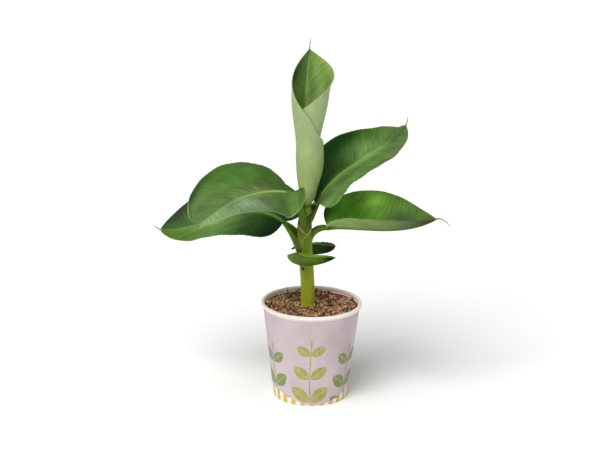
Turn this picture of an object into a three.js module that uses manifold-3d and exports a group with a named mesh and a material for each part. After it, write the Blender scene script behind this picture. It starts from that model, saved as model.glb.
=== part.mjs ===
// A young banana plant in a paper cover pot, in millimetres, +Z up. The origin is the centre of the
// pot's flat underside and the plant's front faces -Y. Seven leaves stand on one pseudostem: one still
// rolled up at the top, four spread ones below it and two small first leaves.
import * as THREE from "three";
import { mergeVertices } from "three/addons/utils/BufferGeometryUtils.js";
import Module from "manifold-3d";

const wasm = await Module();
wasm.setup();

// Driving dimensions
const CLEARANCE = 0.3;
const POT = { footRadius: 47.5, rimRadius: 65, height: 126, wall: 1.4, floor: 2, bead: 2.4, sides: 56 };
const GROWING_POT = { top: 120, wall: 1, floor: 1.2 };
const SOIL = { bottom: 4.2, crown: 119, edge: 118, flatRadius: 22 };
const STEM = {
  foot: [-5.5, 3, SOIL.crown + CLEARANCE],
  bends: [[-6.8, 3, 180], [-9.5, 3, 226]],
  top: [-8, 3, 247],
  radii: [9.2, 8.7, 8.6, 9.4, 8.9, 7.6],
  sides: 20,
  rings: 12,
};

// Each spread leaf leaves the stem at its foot. Its heading is given in degrees at the foot, the blade's
// base, middle and tip: azimuth from +X towards +Y, elevation from level. The halves lie to the left and
// right of the heading: width in mm, rise from level at base and tip, further curl towards the margin,
// how far the margin's base corner reaches back along the stalk, and a lift that turns only the base up.
// Full and taper shape the outline, and a half may have its own full. A leaf that grows beside another's
// stalk is cut clear of it.
const SPREAD_LEAVES = [
  {
    name: "leaf_upper_right", color: 0x3f7a2a,
    foot: [-6.5, 4.2, 225.8], stalk: 33, stalkRadius: 4.8, length: 162, arch: 0.8,
    azimuth: [38, 51, 28, 40], elevation: [73, 49, 25, 40], roll: [-7, -43],
    left: { width: 45.5, rise: [26, 56], curl: 38, corner: 4, full: 0.45 },
    right: { width: 60.5, rise: [19, 26], curl: 19, corner: 21 },
    full: 0.3, taper: 0.75, thread: { length: 12, azimuth: 60, elevation: 85 },
  },
  {
    name: "leaf_lower_right", color: 0x44852a,
    foot: [-5.4, 2.4, 194.4], stalk: 43.5, stalkRadius: 5, length: 140.5, arch: 1.15,
    azimuth: [8, 4, -4, -4], elevation: [92, 1, 1, 33], roll: [-5, -18],
    left: { width: 58, rise: [26, 45], curl: -1, corner: 20 },
    right: { width: 52, rise: [43, 59], curl: -17, corner: 13 },
    full: 0.44, taper: 0.77, thread: { length: 23, azimuth: -10, elevation: -75 },
  },
  {
    name: "leaf_upper_left", color: 0x4a8a35,
    foot: [-10, -0.8, 217], stalk: 77, stalkRadius: 5.2, length: 185.5, arch: 2,
    azimuth: [237, 243, 235, 216], elevation: [79, 18, 3, -31], roll: [46, -15],
    left: { width: 44, rise: [-5, 6], curl: -15, corner: -40, full: 0.08, lift: 75 },
    right: { width: 64.5, rise: [4, 4], curl: 0, corner: 10 },
    full: 0.48, taper: 0.36, thread: { length: 8, azimuth: 227, elevation: -60 },
  },
  {
    name: "leaf_lower_left", color: 0x3b7529,
    foot: [-8.3, 2.5, 175.3], stalk: 62, stalkRadius: 7, length: 181.5, arch: 1.6,
    azimuth: [160, 151, 159, 174], elevation: [75, 31, -23, 3], roll: [24, 39],
    left: { width: 65, rise: [3, 26], curl: 11, corner: 15 },
    right: { width: 52.5, rise: [1, 25], curl: 11, corner: 2 },
    full: 0.34, taper: 0.66, thread: { length: 12, azimuth: 170, elevation: 45 },
  },
  {
    name: "small_leaf_front", color: 0x4f8f33, beside: "leaf_lower_left",
    foot: [-12.5, -1.4, 181.8], stalk: 21.5, stalkRadius: 2.6, length: 52.5, arch: 1.5,
    azimuth: [-171, -71, 2, 4], elevation: [79, -9, -2, -7], roll: [-1, -8],
    left: { width: 4, rise: [28, 31], curl: -1, corner: -4 },
    right: { width: 15, rise: [-34, -47], curl: -31, corner: 4.5, full: 0.05, lift: 33 },
    full: 0.24, taper: 0.62, thread: { length: 2, azimuth: 0, elevation: 0 },
  },
  {
    name: "small_leaf_back", color: 0x2c5a24, beside: "leaf_lower_left",
    foot: [-13, 6.1, 178.8], stalk: 21, stalkRadius: 2.6, length: 54, arch: 1.5,
    azimuth: [145, 81, 6, -2], elevation: [83, 3, -4, -4], roll: [10, -4],
    left: { width: 17, rise: [-13, 10], curl: -12, corner: 3 },
    right: { width: 16, rise: [-41, -49], curl: -12, corner: 6.5 },
    full: 0.28, taper: 0.5, thread: { length: 2, azimuth: 0, elevation: -10 },
  },
];
// Thickness is a share of the leaf's whole length. A longer blade has more rings.
const BLADE = { rings: 9, ringsPerMm: 1 / 19, across: 4, thickness: 1 / 98, narrowest: 0.02 };
const RIB = { base: 3.4, tip: 1.3, thread: 0.8, sides: 6, rings: 14, threadRings: 4 };

// The top leaf is rolled about an upright axis: its midrib runs up the back, its left half wraps round
// the front over its right half, and the roll opens to a scoop under the tip.
const ROLLED_LEAF = {
  name: "leaf_unfurling", color: 0x93ad6e,
  axisFoot: [-8, 3, 247.8], axisTip: [-1.7, 3, 452], bow: -2.8,
  rollRadii: [4.8, 8.3, 12.1, 13.8, 14, 17.7, 21, 22.5, 23.3, 23.4],
  bladeStart: 0.03,
  left: { width: 69, flare: 7, flareAt: 0.3, flareSpan: 0.16 },
  right: { width: 108, flare: 4.5, flareAt: 0.88, flareSpan: 0.09 },
  full: 0.78, taper: 1.14,
  layer: 2, twist: 15,
  core: { top: 0.2, radius: 7.3 },
  thread: { length: 13, azimuth: -160, elevation: 100 },
  rings: 28, across: 10,
};

const UP = new THREE.Vector3(0, 0, 1);
const FORWARD = new THREE.Vector3(0, 1, 0);
const vector = ([x, y, z]) => new THREE.Vector3(x, y, z);
const radians = THREE.MathUtils.degToRad;
const mix = THREE.MathUtils.lerp;

// Quadratic through three values at 0, a half and 1.
function through(base, middle, tip, v) {
  return base * (1 - v) * (1 - 2 * v) + middle * 4 * v * (1 - v) + tip * v * (2 * v - 1);
}

// Share of the full half width at t along a blade: round at the base, tapering to the tip.
function outline(t, full, taper) {
  const widest = full / (full + taper);
  const share = Math.max(t, 0) ** full * Math.max(1 - t, 0) ** taper;
  return share / (widest ** full * (1 - widest) ** taper);
}

// Closed skin through rings that all hold the same number of points, each cell split across its
// shorter diagonal.
function skin(rings) {
  const count = rings[0].length;
  const points = rings.flat();
  const positions = points.flatMap((p) => [p.x, p.y, p.z]);
  const index = [];
  for (let i = 0; i + 1 < rings.length; i++)
    for (let j = 0; j < count; j++) {
      const a = i * count + j;
      const b = i * count + ((j + 1) % count);
      const straight = points[a].distanceTo(points[b + count]) < points[b].distanceTo(points[a + count]);
      if (straight) index.push(a, b, b + count, a, b + count, a + count);
      else index.push(a, b, a + count, b, b + count, a + count);
    }
  for (const [start, inward] of [[0, true], [(rings.length - 1) * count, false]]) {
    const centre = new THREE.Vector3();
    for (let j = 0; j < count; j++) centre.add(new THREE.Vector3().fromArray(positions, 3 * (start + j)));
    centre.divideScalar(count);
    const hub = positions.length / 3;
    positions.push(centre.x, centre.y, centre.z);
    for (let j = 0; j < count; j++) {
      const pair = [start + j, start + ((j + 1) % count)];
      if (inward) pair.reverse();
      index.push(hub, ...pair);
    }
  }
  const geometry = new THREE.BufferGeometry();
  geometry.setAttribute("position", new THREE.Float32BufferAttribute(positions, 3));
  geometry.setIndex(index);
  return geometry;
}

function solid(geometry) {
  const bare = new THREE.BufferGeometry().setAttribute("position", geometry.getAttribute("position"));
  bare.setIndex(geometry.getIndex());
  const merged = mergeVertices(bare, 1e-4);
  const made = new wasm.Manifold(
    new wasm.Mesh({
      numProp: 3,
      vertProperties: merged.attributes.position.array,
      triVerts: new Uint32Array(merged.index.array),
    }),
  );
  return made;
}

function geometryOf(made) {
  const { vertProperties, triVerts } = made.getMesh();
  const geometry = new THREE.BufferGeometry();
  geometry.setAttribute("position", new THREE.Float32BufferAttribute(vertProperties, 3));
  geometry.setIndex(new THREE.Uint32BufferAttribute(triVerts, 1));
  geometry.computeVertexNormals();
  return geometry;
}

// The largest body of a solid that a cut may have split.
function mainBody(made) {
  return made.decompose().reduce((best, body) => (body.volume() > best.volume() ? body : best));
}

// Round rod through points with a radius for each.
function rod(points, radii, sides) {
  const rings = points.map((point, i) => {
    const ahead = points[Math.min(i + 1, points.length - 1)];
    const behind = points[Math.max(i - 1, 0)];
    const along = ahead.clone().sub(behind).normalize();
    const side = new THREE.Vector3().crossVectors(along, Math.abs(along.z) > 0.9 ? FORWARD : UP).normalize();
    const rise = new THREE.Vector3().crossVectors(side, along);
    return Array.from({ length: sides }, (_, j) => {
      const angle = (-2 * Math.PI * j) / sides;
      return point
        .clone()
        .addScaledVector(side, radii[i] * Math.cos(angle))
        .addScaledVector(rise, radii[i] * Math.sin(angle));
    });
  });
  return skin(rings);
}

function direction(azimuth, elevation) {
  const a = radians(azimuth);
  const e = radians(elevation);
  return new THREE.Vector3(Math.cos(e) * Math.cos(a), Math.cos(e) * Math.sin(a), Math.sin(e));
}

// Heading of a spread leaf at u from its foot (0) to its tip (1).
function heading(leaf, u) {
  const start = leaf.stalk / (leaf.stalk + leaf.length);
  const angles = [leaf.azimuth, leaf.elevation].map(([foot, base, middle, tip]) =>
    u < start
      ? foot + (base - foot) * (u / start) ** leaf.arch
      : through(base, middle, tip, (u - start) / (1 - start)),
  );
  return direction(...angles);
}

// Points and headings along a leaf's midrib, in steps short enough to follow its bends.
function midrib(leaf) {
  const steps = 120;
  const stride = (leaf.stalk + leaf.length) / steps;
  const places = [{ point: vector(leaf.foot), along: heading(leaf, 0) }];
  for (let i = 1; i <= steps; i++) {
    const along = heading(leaf, i / steps);
    const middle = along.clone().add(places[i - 1].along).multiplyScalar(stride / 2);
    places.push({ point: places[i - 1].point.clone().add(middle), along });
  }
  return (u) => {
    const i = Math.min(Math.floor(u * steps), steps - 1);
    const share = u * steps - i;
    return {
      point: places[i].point.clone().lerp(places[i + 1].point, share),
      along: places[i].along.clone().lerp(places[i + 1].along, share).normalize(),
    };
  };
}

// The dead thread at a leaf's tip, from the tip's heading round to the thread's own.
function threadPoints(tip, along, thread) {
  const goal = direction(thread.azimuth, thread.elevation);
  const points = [];
  const at = tip.clone();
  for (let i = 1; i <= RIB.threadRings; i++) {
    const aim = along.clone().lerp(goal, i / RIB.threadRings).normalize();
    at.addScaledVector(aim, thread.length / RIB.threadRings);
    points.push(at.clone());
  }
  return points;
}

// Ring round a blade's section: its upper face from left to right, then its lower face back.
function section(places, normals, thickness) {
  const half = thickness / 2;
  const upper = places.map((p, j) => p.clone().addScaledVector(normals[j], half));
  const lower = places.map((p, j) => p.clone().addScaledVector(normals[j], -half));
  return [...upper, ...lower.reverse()];
}

// Rings are closer together towards both ends of a blade, where its outline turns most.
const spaced = (i, count) => (1 - Math.cos((Math.PI * i) / count)) / 2;

function spreadBlade(leaf, rib) {
  const start = leaf.stalk / (leaf.stalk + leaf.length);
  const rings = [];
  const ringCount = Math.round(BLADE.rings + leaf.length * BLADE.ringsPerMm);
  for (let i = 0; i <= ringCount; i++) {
    const t = mix(0.004, 0.996, spaced(i, ringCount));
    const { point, along } = rib(mix(start, 1, t));
    const level = new THREE.Vector3().crossVectors(along, UP).normalize();
    const roll = radians(mix(...leaf.roll, t));
    const side = level.applyAxisAngle(along, -roll);
    const up = new THREE.Vector3().crossVectors(side, along);
    const half = (part, sign) => {
      const share = Math.max(outline(t, part.full ?? leaf.full, leaf.taper), BLADE.narrowest);
      const lift = (part.lift ?? 0) * (1 - t) ** 12;
      const at = point.clone();
      const places = [];
      const normals = [];
      for (let j = 1; j <= BLADE.across; j++) {
        const reach = j / BLADE.across;
        const angle = radians(mix(...part.rise, t) + lift + part.curl * (reach - 0.5 / BLADE.across));
        at.addScaledVector(side, (sign * Math.cos(angle) * part.width * share) / BLADE.across);
        at.addScaledVector(up, (Math.sin(angle) * part.width * share) / BLADE.across);
        const back = part.corner * (1 - t) ** 3 * reach ** 1.5 * share;
        places.push(at.clone().addScaledVector(along, -back));
        normals.push(
          up.clone().multiplyScalar(Math.cos(angle)).addScaledVector(side, -sign * Math.sin(angle)),
        );
      }
      return { places, normals };
    };
    const left = half(leaf.left, -1);
    const right = half(leaf.right, 1);
    const places = [...left.places.reverse(), point.clone(), ...right.places];
    const normals = [...left.normals.reverse(), up, ...right.normals];
    rings.push(section(places, normals, (leaf.stalk + leaf.length) * BLADE.thickness));
  }
  return skin(rings);
}

// Stalk, midrib and thread of a spread leaf as one tapering rod, grown by a margin where a neighbour is
// cut to it.
function spreadRib(leaf, rib, grown) {
  const start = leaf.stalk / (leaf.stalk + leaf.length);
  const size = Math.min(1, 0.3 + leaf.length / 200);
  const points = [];
  const radii = [];
  for (let i = 0; i <= RIB.rings; i++) {
    const u = i / RIB.rings;
    points.push(rib(u).point);
    const along = Math.max(0, (u - start) / (1 - start));
    const onStalk = mix(leaf.stalkRadius, RIB.base * size, (u / start) ** 1.5);
    radii.push(u < start ? onStalk : mix(RIB.base, RIB.tip, Math.sqrt(along)) * size);
  }
  const tip = rib(1);
  threadPoints(tip.point, tip.along, leaf.thread).forEach((point, i) => {
    points.push(point);
    radii.push(mix(RIB.tip * size, RIB.thread * size, (i + 1) / RIB.threadRings));
  });
  return rod(points, radii.map((radius) => radius + grown), RIB.sides);
}

// The pseudostem as level rings up its centre line, grown by a margin where neighbours are cut to it.
function stemRod(grown) {
  const curve = new THREE.CatmullRomCurve3([STEM.foot, ...STEM.bends, STEM.top].map(vector));
  const points = curve.getPoints(STEM.rings);
  const last = STEM.radii.length - 1;
  const radii = points.map((_, i) => {
    const place = (i / STEM.rings) * last;
    const k = Math.min(Math.floor(place), last - 1);
    return mix(STEM.radii[k], STEM.radii[k + 1], place - k) + grown;
  });
  points[points.length - 1].z += grown;
  const rings = points.map((point, i) =>
    Array.from({ length: STEM.sides }, (_, j) => {
      const angle = (2 * Math.PI * j) / STEM.sides;
      return new THREE.Vector3(radii[i] * Math.cos(angle), radii[i] * Math.sin(angle), 0).add(point);
    }),
  );
  return skin(rings);
}

function spreadLeaf(leaf, cutters) {
  const rib = midrib(leaf);
  let made = solid(spreadBlade(leaf, rib)).add(solid(spreadRib(leaf, rib, 0)));
  for (const cutter of cutters) made = made.subtract(cutter);
  return mainBody(made);
}

// Point at t up the rolled leaf's axis, which bows sideways.
function rollAxis(t) {
  const { axisFoot, axisTip, bow } = ROLLED_LEAF;
  const point = vector(axisFoot).lerp(vector(axisTip), t);
  point.x += bow * 4 * t * (1 - t);
  return point;
}

// Radius of the roll at t up its axis, eased through its named radii.
function rollRadius(t) {
  const radii = ROLLED_LEAF.rollRadii;
  const curve = new THREE.CatmullRomCurve3(radii.map((r, i) => new THREE.Vector3(i, r, 0)));
  return curve.getPoint(t).y;
}

// Point of the rolled leaf at t up the axis, at a reach across a half from its midrib (0) to its
// margin (1), left positive.
function rollPlace(t, reach) {
  const leaf = ROLLED_LEAF;
  const half = reach > 0 ? leaf.left : leaf.right;
  const share = outline((t - leaf.bladeStart) / (1 - leaf.bladeStart) + 0.002, leaf.full, leaf.taper);
  const turn = (reach * half.width * share) / rollRadius(t);
  const flare = half.flare * Math.exp(-(((t - half.flareAt) / half.flareSpan) ** 2)) * reach ** 4;
  const radius = rollRadius(t) + (leaf.layer * turn) / Math.PI + flare;
  const angle = turn + radians(leaf.twist);
  const outward = new THREE.Vector3(-Math.sin(angle), Math.cos(angle), 0);
  return { point: rollAxis(t).addScaledVector(outward, radius), outward };
}

function rolledLeaf() {
  const leaf = ROLLED_LEAF;
  const length = leaf.axisTip[2] - leaf.axisFoot[2] + leaf.thread.length;
  const rings = [];
  for (let i = 0; i <= leaf.rings; i++) {
    const t = mix(leaf.bladeStart, 0.997, spaced(i, leaf.rings));
    const places = [];
    const normals = [];
    for (let j = -leaf.across; j <= leaf.across; j++) {
      const { point, outward } = rollPlace(t, -j / leaf.across);
      places.push(point);
      normals.push(outward.negate());
    }
    rings.push(section(places, normals, length * BLADE.thickness));
  }
  const ribPoints = [];
  const ribRadii = [];
  for (let i = 0; i <= RIB.rings; i++) {
    const t = mix(leaf.bladeStart, 1, i / RIB.rings);
    ribPoints.push(rollPlace(t, 0).point);
    ribRadii.push(mix(RIB.base, RIB.tip, i / RIB.rings));
  }
  threadPoints(ribPoints[RIB.rings], UP, leaf.thread).forEach((point, i) => {
    ribPoints.push(point);
    ribRadii.push(mix(RIB.tip, RIB.thread, (i + 1) / RIB.threadRings));
  });
  const corePoints = [0, 0.35, 0.7, 1].map((k) => rollAxis(k * leaf.core.top));
  const coreRadii = [1, 0.95, 0.6, 0.25].map((k) => k * leaf.core.radius);
  return mainBody(
    solid(skin(rings))
      .add(solid(rod(ribPoints, ribRadii, RIB.sides)))
      .add(solid(rod(corePoints, coreRadii, STEM.sides))),
  );
}

// Outer radius of the cover pot's sloping wall at a height.
function potRadius(z) {
  const wallTop = POT.rimRadius - 2 * POT.bead;
  return mix(POT.footRadius, wallTop + POT.bead, z / (POT.height - POT.bead));
}

function revolve(profile, sides) {
  const geometry = new THREE.LatheGeometry(profile.map(([r, z]) => new THREE.Vector2(r, z)), sides);
  return geometry.rotateX(Math.PI / 2);
}

// The cover pot: flat floor, sloping wall and a rolled bead round its rim.
function coverPot() {
  const beadCentre = { r: POT.rimRadius - POT.bead, z: POT.height - POT.bead };
  const bead = Array.from({ length: 8 }, (_, i) => {
    const angle = radians(mix(-100, 215, i / 7));
    return [beadCentre.r + POT.bead * Math.cos(angle), beadCentre.z + POT.bead * Math.sin(angle)];
  });
  const profile = [
    [0, 0],
    [POT.footRadius - 0.8, 0],
    [potRadius(1), 1],
    ...bead,
    [potRadius(beadCentre.z - 3) - POT.wall, beadCentre.z - 3],
    [potRadius(POT.floor) - POT.wall, POT.floor],
    [0, POT.floor],
  ];
  return revolve(profile, POT.sides);
}

// Radius inside the cover pot, less a depth for what stands nested in it.
const nested = (z, depth) => potRadius(z) - POT.wall - depth;

function growingPot() {
  const foot = POT.floor + CLEARANCE;
  const inside = CLEARANCE + GROWING_POT.wall;
  const profile = [
    [0, foot],
    [nested(foot, CLEARANCE), foot],
    [nested(GROWING_POT.top, CLEARANCE), GROWING_POT.top],
    [nested(GROWING_POT.top, inside), GROWING_POT.top],
    [nested(foot + GROWING_POT.floor, inside), foot + GROWING_POT.floor],
    [0, foot + GROWING_POT.floor],
  ];
  return revolve(profile, POT.sides);
}

function pottingSoil() {
  const depth = 2 * CLEARANCE + GROWING_POT.wall;
  const profile = [
    [0, SOIL.bottom],
    [nested(SOIL.bottom, depth), SOIL.bottom],
    [nested(SOIL.edge, depth), SOIL.edge],
    [SOIL.flatRadius, SOIL.crown],
    [0, SOIL.crown],
  ];
  return revolve(profile, POT.sides);
}

function piece(name, color, roughness, geometry) {
  const material = new THREE.MeshStandardMaterial({ color, roughness, metalness: 0 });
  const mesh = new THREE.Mesh(geometry, material);
  mesh.name = name;
  return mesh;
}

const plant = new THREE.Group();
plant.add(
  piece("cover_pot", 0xc9b3b8, 0.75, coverPot()),
  piece("growing_pot", 0xa34a35, 0.6, growingPot()),
  piece("potting_soil", 0x6b4a35, 0.95, pottingSoil()),
  piece("pseudostem", 0x8a9a3c, 0.5, stemRod(0)),
  piece(ROLLED_LEAF.name, ROLLED_LEAF.color, 0.55, geometryOf(rolledLeaf())),
);
const stemSpace = solid(stemRod(CLEARANCE));
for (const leaf of SPREAD_LEAVES) {
  const stalks = SPREAD_LEAVES.filter((other) => other.name === leaf.beside);
  const stalkSpaces = stalks.map((other) => solid(spreadRib(other, midrib(other), 2 * CLEARANCE)));
  const made = spreadLeaf(leaf, [stemSpace, ...stalkSpaces]);
  plant.add(piece(leaf.name, leaf.color, 0.4, geometryOf(made)));
}

export default plant;
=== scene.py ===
"""Finish of a young banana plant in a paper cover pot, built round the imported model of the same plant."""
import math
from functools import partial

import bmesh
import bpy
import numpy as np
from mathutils import Matrix, Vector


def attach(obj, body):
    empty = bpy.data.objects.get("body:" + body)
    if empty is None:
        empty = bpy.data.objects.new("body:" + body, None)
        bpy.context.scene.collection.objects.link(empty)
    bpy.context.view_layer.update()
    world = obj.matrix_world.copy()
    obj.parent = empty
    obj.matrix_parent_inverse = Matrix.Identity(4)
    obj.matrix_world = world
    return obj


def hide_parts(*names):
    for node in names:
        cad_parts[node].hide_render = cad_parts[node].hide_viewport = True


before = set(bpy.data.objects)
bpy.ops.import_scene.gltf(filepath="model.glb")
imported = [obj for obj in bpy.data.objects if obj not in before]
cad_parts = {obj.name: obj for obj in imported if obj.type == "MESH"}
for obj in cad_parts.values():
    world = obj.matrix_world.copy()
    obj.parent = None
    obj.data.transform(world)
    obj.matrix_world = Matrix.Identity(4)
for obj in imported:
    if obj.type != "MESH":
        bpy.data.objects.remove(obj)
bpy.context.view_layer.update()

bl_info = {
    "name": "Potted banana plant",
    "version": (1, 0, 0),
    "blender": (4, 5, 0),
    "location": "3D View > Sidebar > Banana plant",
    "description": "Builds a young banana plant, its potting soil and its paper pot",
    "category": "Add Mesh",
}

MM = 0.001
BODY = "root"

# Where the cover pot's board laps over itself at the back, in degrees: where its edges rise and fall
LAP = (86, 86.6, 96, 97)

# The stem's centre line and radii up its height, in millimetres
STEM = dict(
    heights=(119.3, 180, 226, 247), centres=(-5.5, -8, -10.4, -8.6), depth=3,
    radii=(8.5, 8.4, 8.6, 9.4, 9.8, 8.1),
)
# Sheaths of the lower leaves: direction and half spread in degrees round the stem, then the height of the
# lowest edge and its rise up to the leaf, in millimetres
LEFT_SHEATH = (166, 117, 216, 16.7)
RIGHT_SHEATH = (345, 85, 210.4, 13.6)
# The right sheath's upright edge, in degrees from its middle, and the heights that it runs between
SIDE_EDGE, SIDE_EDGE_FOOT, SIDE_EDGE_TOP = 90, 183, 209
# The outermost sheath ends low on the stem at a slant: mean height, rise and direction of its high side
LOW_SHEATH = (183, 3, 250)
# The V that the topmost sheath parts in: direction and half spread in degrees
MOUTH = (278, 62)
# Brown tinges, and a dark spot at a sheath's joint under the small front leaf that is partly painted
# shade: direction in degrees, height, their spreads and strength
TINGES_AND_SHADE = ((247, 198, 17, 6.5, 0.66), (242, 222, 18, 5.5, 0.72), (241, 171.2, 19, 2.8, 1.25))

# Radii of a leaf's stalk and midrib, for a leaf of full size, and of its thread as a share
RIB = dict(base=3.4, tip=1.3, thread=0.45)
# Points of a stalk's section on its underside, before those of its channel
UNDER = 18

# Each spread leaf's heading is given in degrees at its foot, the blade's base, middle and tip: azimuth
# from +X towards +Y, elevation from level. The stalk is thicker at its end by neck and bows up by bulge,
# and raised lifts its foot, in millimetres; shaded gives its midrib the darker skin, painted shade. The
# halves lie to the left and right of the heading: width in millimetres, rise from level at base and tip,
# further curl towards the margin, how far the margin's base corner reaches back. A half may have its own
# full, and a lift that turns only its base up. Ripple is how far the margin waves up and down, in
# millimetres, and waves how often. The thread has a length, azimuth and elevation.
# Above holds the left and right halves' green at the base, middle and tip, below the underside's, which
# may have one more place near the base. These greens are the leaf's own colour with painted light and
# shade in them: a half turned to the light is painted lighter, one turned away or lying in a neighbour's
# shade darker. Each mark is a lighter or darker place: its reach and share of the length, their spreads,
# its colour and strength. Some marks are the leaf's own, such as a pale midrib; others are painted light
# and shade, such as a sheen or the shade under a neighbouring leaf. Stain and ribs are how strongly the
# brown streaks and the veins show on the left and right halves, rim how pale the left, the right and the
# tip's margin are. Humps widen or narrow the left and right margins: share of the length, spread, change.
SPREAD_LEAVES = {
    "leaf_upper_right": dict(
        foot=(-6.5, 4.2, 225.8), stalk=33, stalk_radius=6.4, neck=1.5, raised=1.8, length=162, arch=0.8,
        azimuth=(38, 51, 28, 40), elevation=(73, 49, 25, 40), roll=(-7, -43),
        left=dict(width=45.5, rise=(26, 56), curl=38, corner=4, full=0.45),
        right=dict(width=60.5, rise=(19, 26), curl=19, corner=21), full=0.3, taper=0.75,
        thread=(12, 60, 85), ripple=0.6, waves=2.5,
        above=(("#0d3f07", "#2b5407", "#82ac5a"), ("#608043", "#5a7b3a", "#5b704a")),
        below=("#7d9358", "#7d9358", "#6f8848"),
        spots_and_shading=(
            (0.07, 0.22, 0.1, 0.35, "#86b455", 0.85), (-0.9, 0.42, 0.35, 0.2, "#113a07", 0.8),
            # The pale mark on the left half toward the tip is a painted sheen
            (-0.2, 0.6, 0.35, 0.16, "#91be6f", 0.8), (0.5, 0.9, 0.5, 0.1, "#47602b", 0.7),
        ),
        stain=(0.7, 0.2), ribs=(0.6, 1.5), rim=(0.1, 0.1, 0.2),
        humps=(
            ((0.93, 0.035, -0.2), (0.8, 0.05, 0.03)),
            ((0.08, 0.07, 0.08), (0.27, 0.07, -0.08), (0.9, 0.04, 0.06)),
        ),
    ),
    "leaf_lower_right": dict(
        foot=(-5.4, 2.4, 194.4), stalk=43.5, stalk_radius=5.8, neck=0.8, bulge=2.8, length=140.5, arch=1.15,
        azimuth=(8, 4, -4, -4), elevation=(92, 1, 1, 33), roll=(-5, -18),
        left=dict(width=58, rise=(26, 45), curl=-1, corner=20),
        right=dict(width=52, rise=(43, 59), curl=-17, corner=13), full=0.44, taper=0.77,
        thread=(21, -10, -52), ripple=0.5, waves=2,
        above=(("#69a92a", "#436d11", "#456413"), ("#3c6a1c", "#3c6a1c", "#3c6a1c")),
        below=("#91ab67", "#748b4b", "#333e1b"),
        spots_and_shading=(
            # The darkest mark, at the left margin by the base, is painted shadow under the upper right leaf
            (-0.95, 0.02, 0.5, 0.09, "#0c1c07", 0.9), (-0.3, 0.68, 0.25, 0.12, "#0e2d07", 0.7),
            (-0.8, 0.4, 0.3, 0.13, "#96d155", 0.8), (0.8, 0.35, 0.3, 0.12, "#99b070", 0.7),
        ),
        stain=(0.1, 0.1), ribs=(0.35, 0.5), rim=(0.1, 0.3, 0.3),
    ),
    "leaf_upper_left": dict(
        foot=(-10, -0.8, 217), stalk=77, stalk_radius=5.6, length=185.5, arch=2,
        azimuth=(237, 243, 235, 216), elevation=(79, 18, 3, -31), roll=(46, -15),
        left=dict(width=44, rise=(-5, 6), curl=-15, corner=-40, full=0.08, lift=75),
        right=dict(width=64.5, rise=(4, 4), curl=0, corner=10), full=0.48, taper=0.36, thread=(8, 227, -60),
        ripple=0.6, waves=2.5, above=(("#547831", "#576d40", "#749460"), ("#436827", "#4b7629", "#556e3b")),
        below=("#6f8a4a", "#7f9a58", "#6f8a4a"),
        spots_and_shading=(
            # The grey-blue mark on the left half is a painted sheen, a reflection of the light; the dark
            # mark at the right margin toward the tip is painted shade
            (0.0, 0.2, 0.035, 0.35, "#8fae62", 0.8), (-0.45, 0.63, 0.4, 0.09, "#88a281", 0.9),
            (-0.1, 0.45, 0.12, 0.2, "#7b9a47", 0.6), (0.97, 0.72, 0.14, 0.25, "#1a3007", 0.9),
            (0.15, 0.45, 0.12, 0.18, "#7c8f5a", 0.7), (0.5, 0.17, 0.4, 0.08, "#3d611b", 0.7),
        ),
        stain=(0.25, 1), ribs=(0.8, 0.8), rim=(0.6, 0.05, 1.0),
        humps=(((0.6, 0.08, -0.08), (0.88, 0.08, 0.12)), ()),
    ),
    "leaf_lower_left": dict(
        foot=(-8.3, 2.5, 175.3), stalk=62, stalk_radius=11, raised=4.4, shaded=True, length=181.5, arch=1.6,
        azimuth=(160, 151, 159, 174), elevation=(75, 31, -23, 3), roll=(24, 39),
        left=dict(width=65, rise=(3, 26), curl=11, corner=15),
        right=dict(width=52.5, rise=(1, 25), curl=11, corner=28), full=0.34, taper=0.66,
        thread=(12, 170, 45), ripple=0.6, waves=2.2,
        # The right half, the far one, is painted darker as shade, darkest at the mark near its tip
        above=(("#0b2d07", "#5c7e3b", "#4f6e26"), ("#174107", "#326f07", "#304f0d")),
        below=("#6a8546", "#6a8546", "#5e7a3a"),
        spots_and_shading=(
            (0.0, 0.3, 0.05, 0.5, "#7fa548", 0.8), (-0.15, 0.62, 0.16, 0.16, "#86ad65", 0.8),
            (0.85, 0.85, 0.4, 0.15, "#1e2a16", 0.9), (-0.6, 0.2, 0.6, 0.12, "#1c4907", 0.6),
        ),
        stain=(0.2, 0.2), ribs=(0.8, 0.8), rim=(0.15, 0.05, 0.3),
    ),
    "small_leaf_front": dict(
        foot=(-12.5, -1.4, 181.8), stalk=21.5, stalk_radius=2.6, length=52.5, arch=1.5,
        azimuth=(-171, -71, 2, 4), elevation=(79, -9, -2, -7), roll=(-1, -8),
        left=dict(width=4, rise=(28, 31), curl=-1, corner=-4),
        right=dict(width=15, rise=(-34, -47), curl=-31, corner=4.5, full=0.05, lift=33), full=0.24,
        taper=0.62, thread=(2, 0, 0), ripple=0.2, waves=1.5,
        # Toward the tip its right half darkens to near black, and its marks darken it further: painted shade
        # where the leaf twists
        above=(("#9aae33", "#96af3b", "#4b5b15"), ("#779440", "#537607", "#070707")),
        below=("#5c7531", "#5c7531", "#4c6022"),
        spots_and_shading=((0.5, 0.9, 0.8, 0.16, "#070e07", 0.9), (0.9, 0.4, 0.3, 0.2, "#242c07", 0.7)),
        ribs=(0.3, 0.5), rim=(0.5, 0.0, 0.2),
    ),
    "small_leaf_back": dict(
        foot=(-13, 6.1, 178.8), stalk=21, stalk_radius=2.6, length=54, arch=1.5, azimuth=(145, 81, 6, -2),
        elevation=(83, 3, -4, -4), roll=(10, -4), left=dict(width=17, rise=(-13, 10), curl=-12, corner=3),
        right=dict(width=16, rise=(-41, -49), curl=-12, corner=6.5), full=0.28, taper=0.5,
        thread=(2, 0, -10), ripple=0.2, waves=1.5,
        # Its upper face is painted dark as shade
        above=(("#112307", "#112307", "#384320"), ("#395308", "#264807", "#071d07")),
        below=("#3f5424", "#3f5424", "#3f5424"), ribs=(0.3, 0.3), rim=(0.0, 0.0, 0.2),
    ),
}

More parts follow.
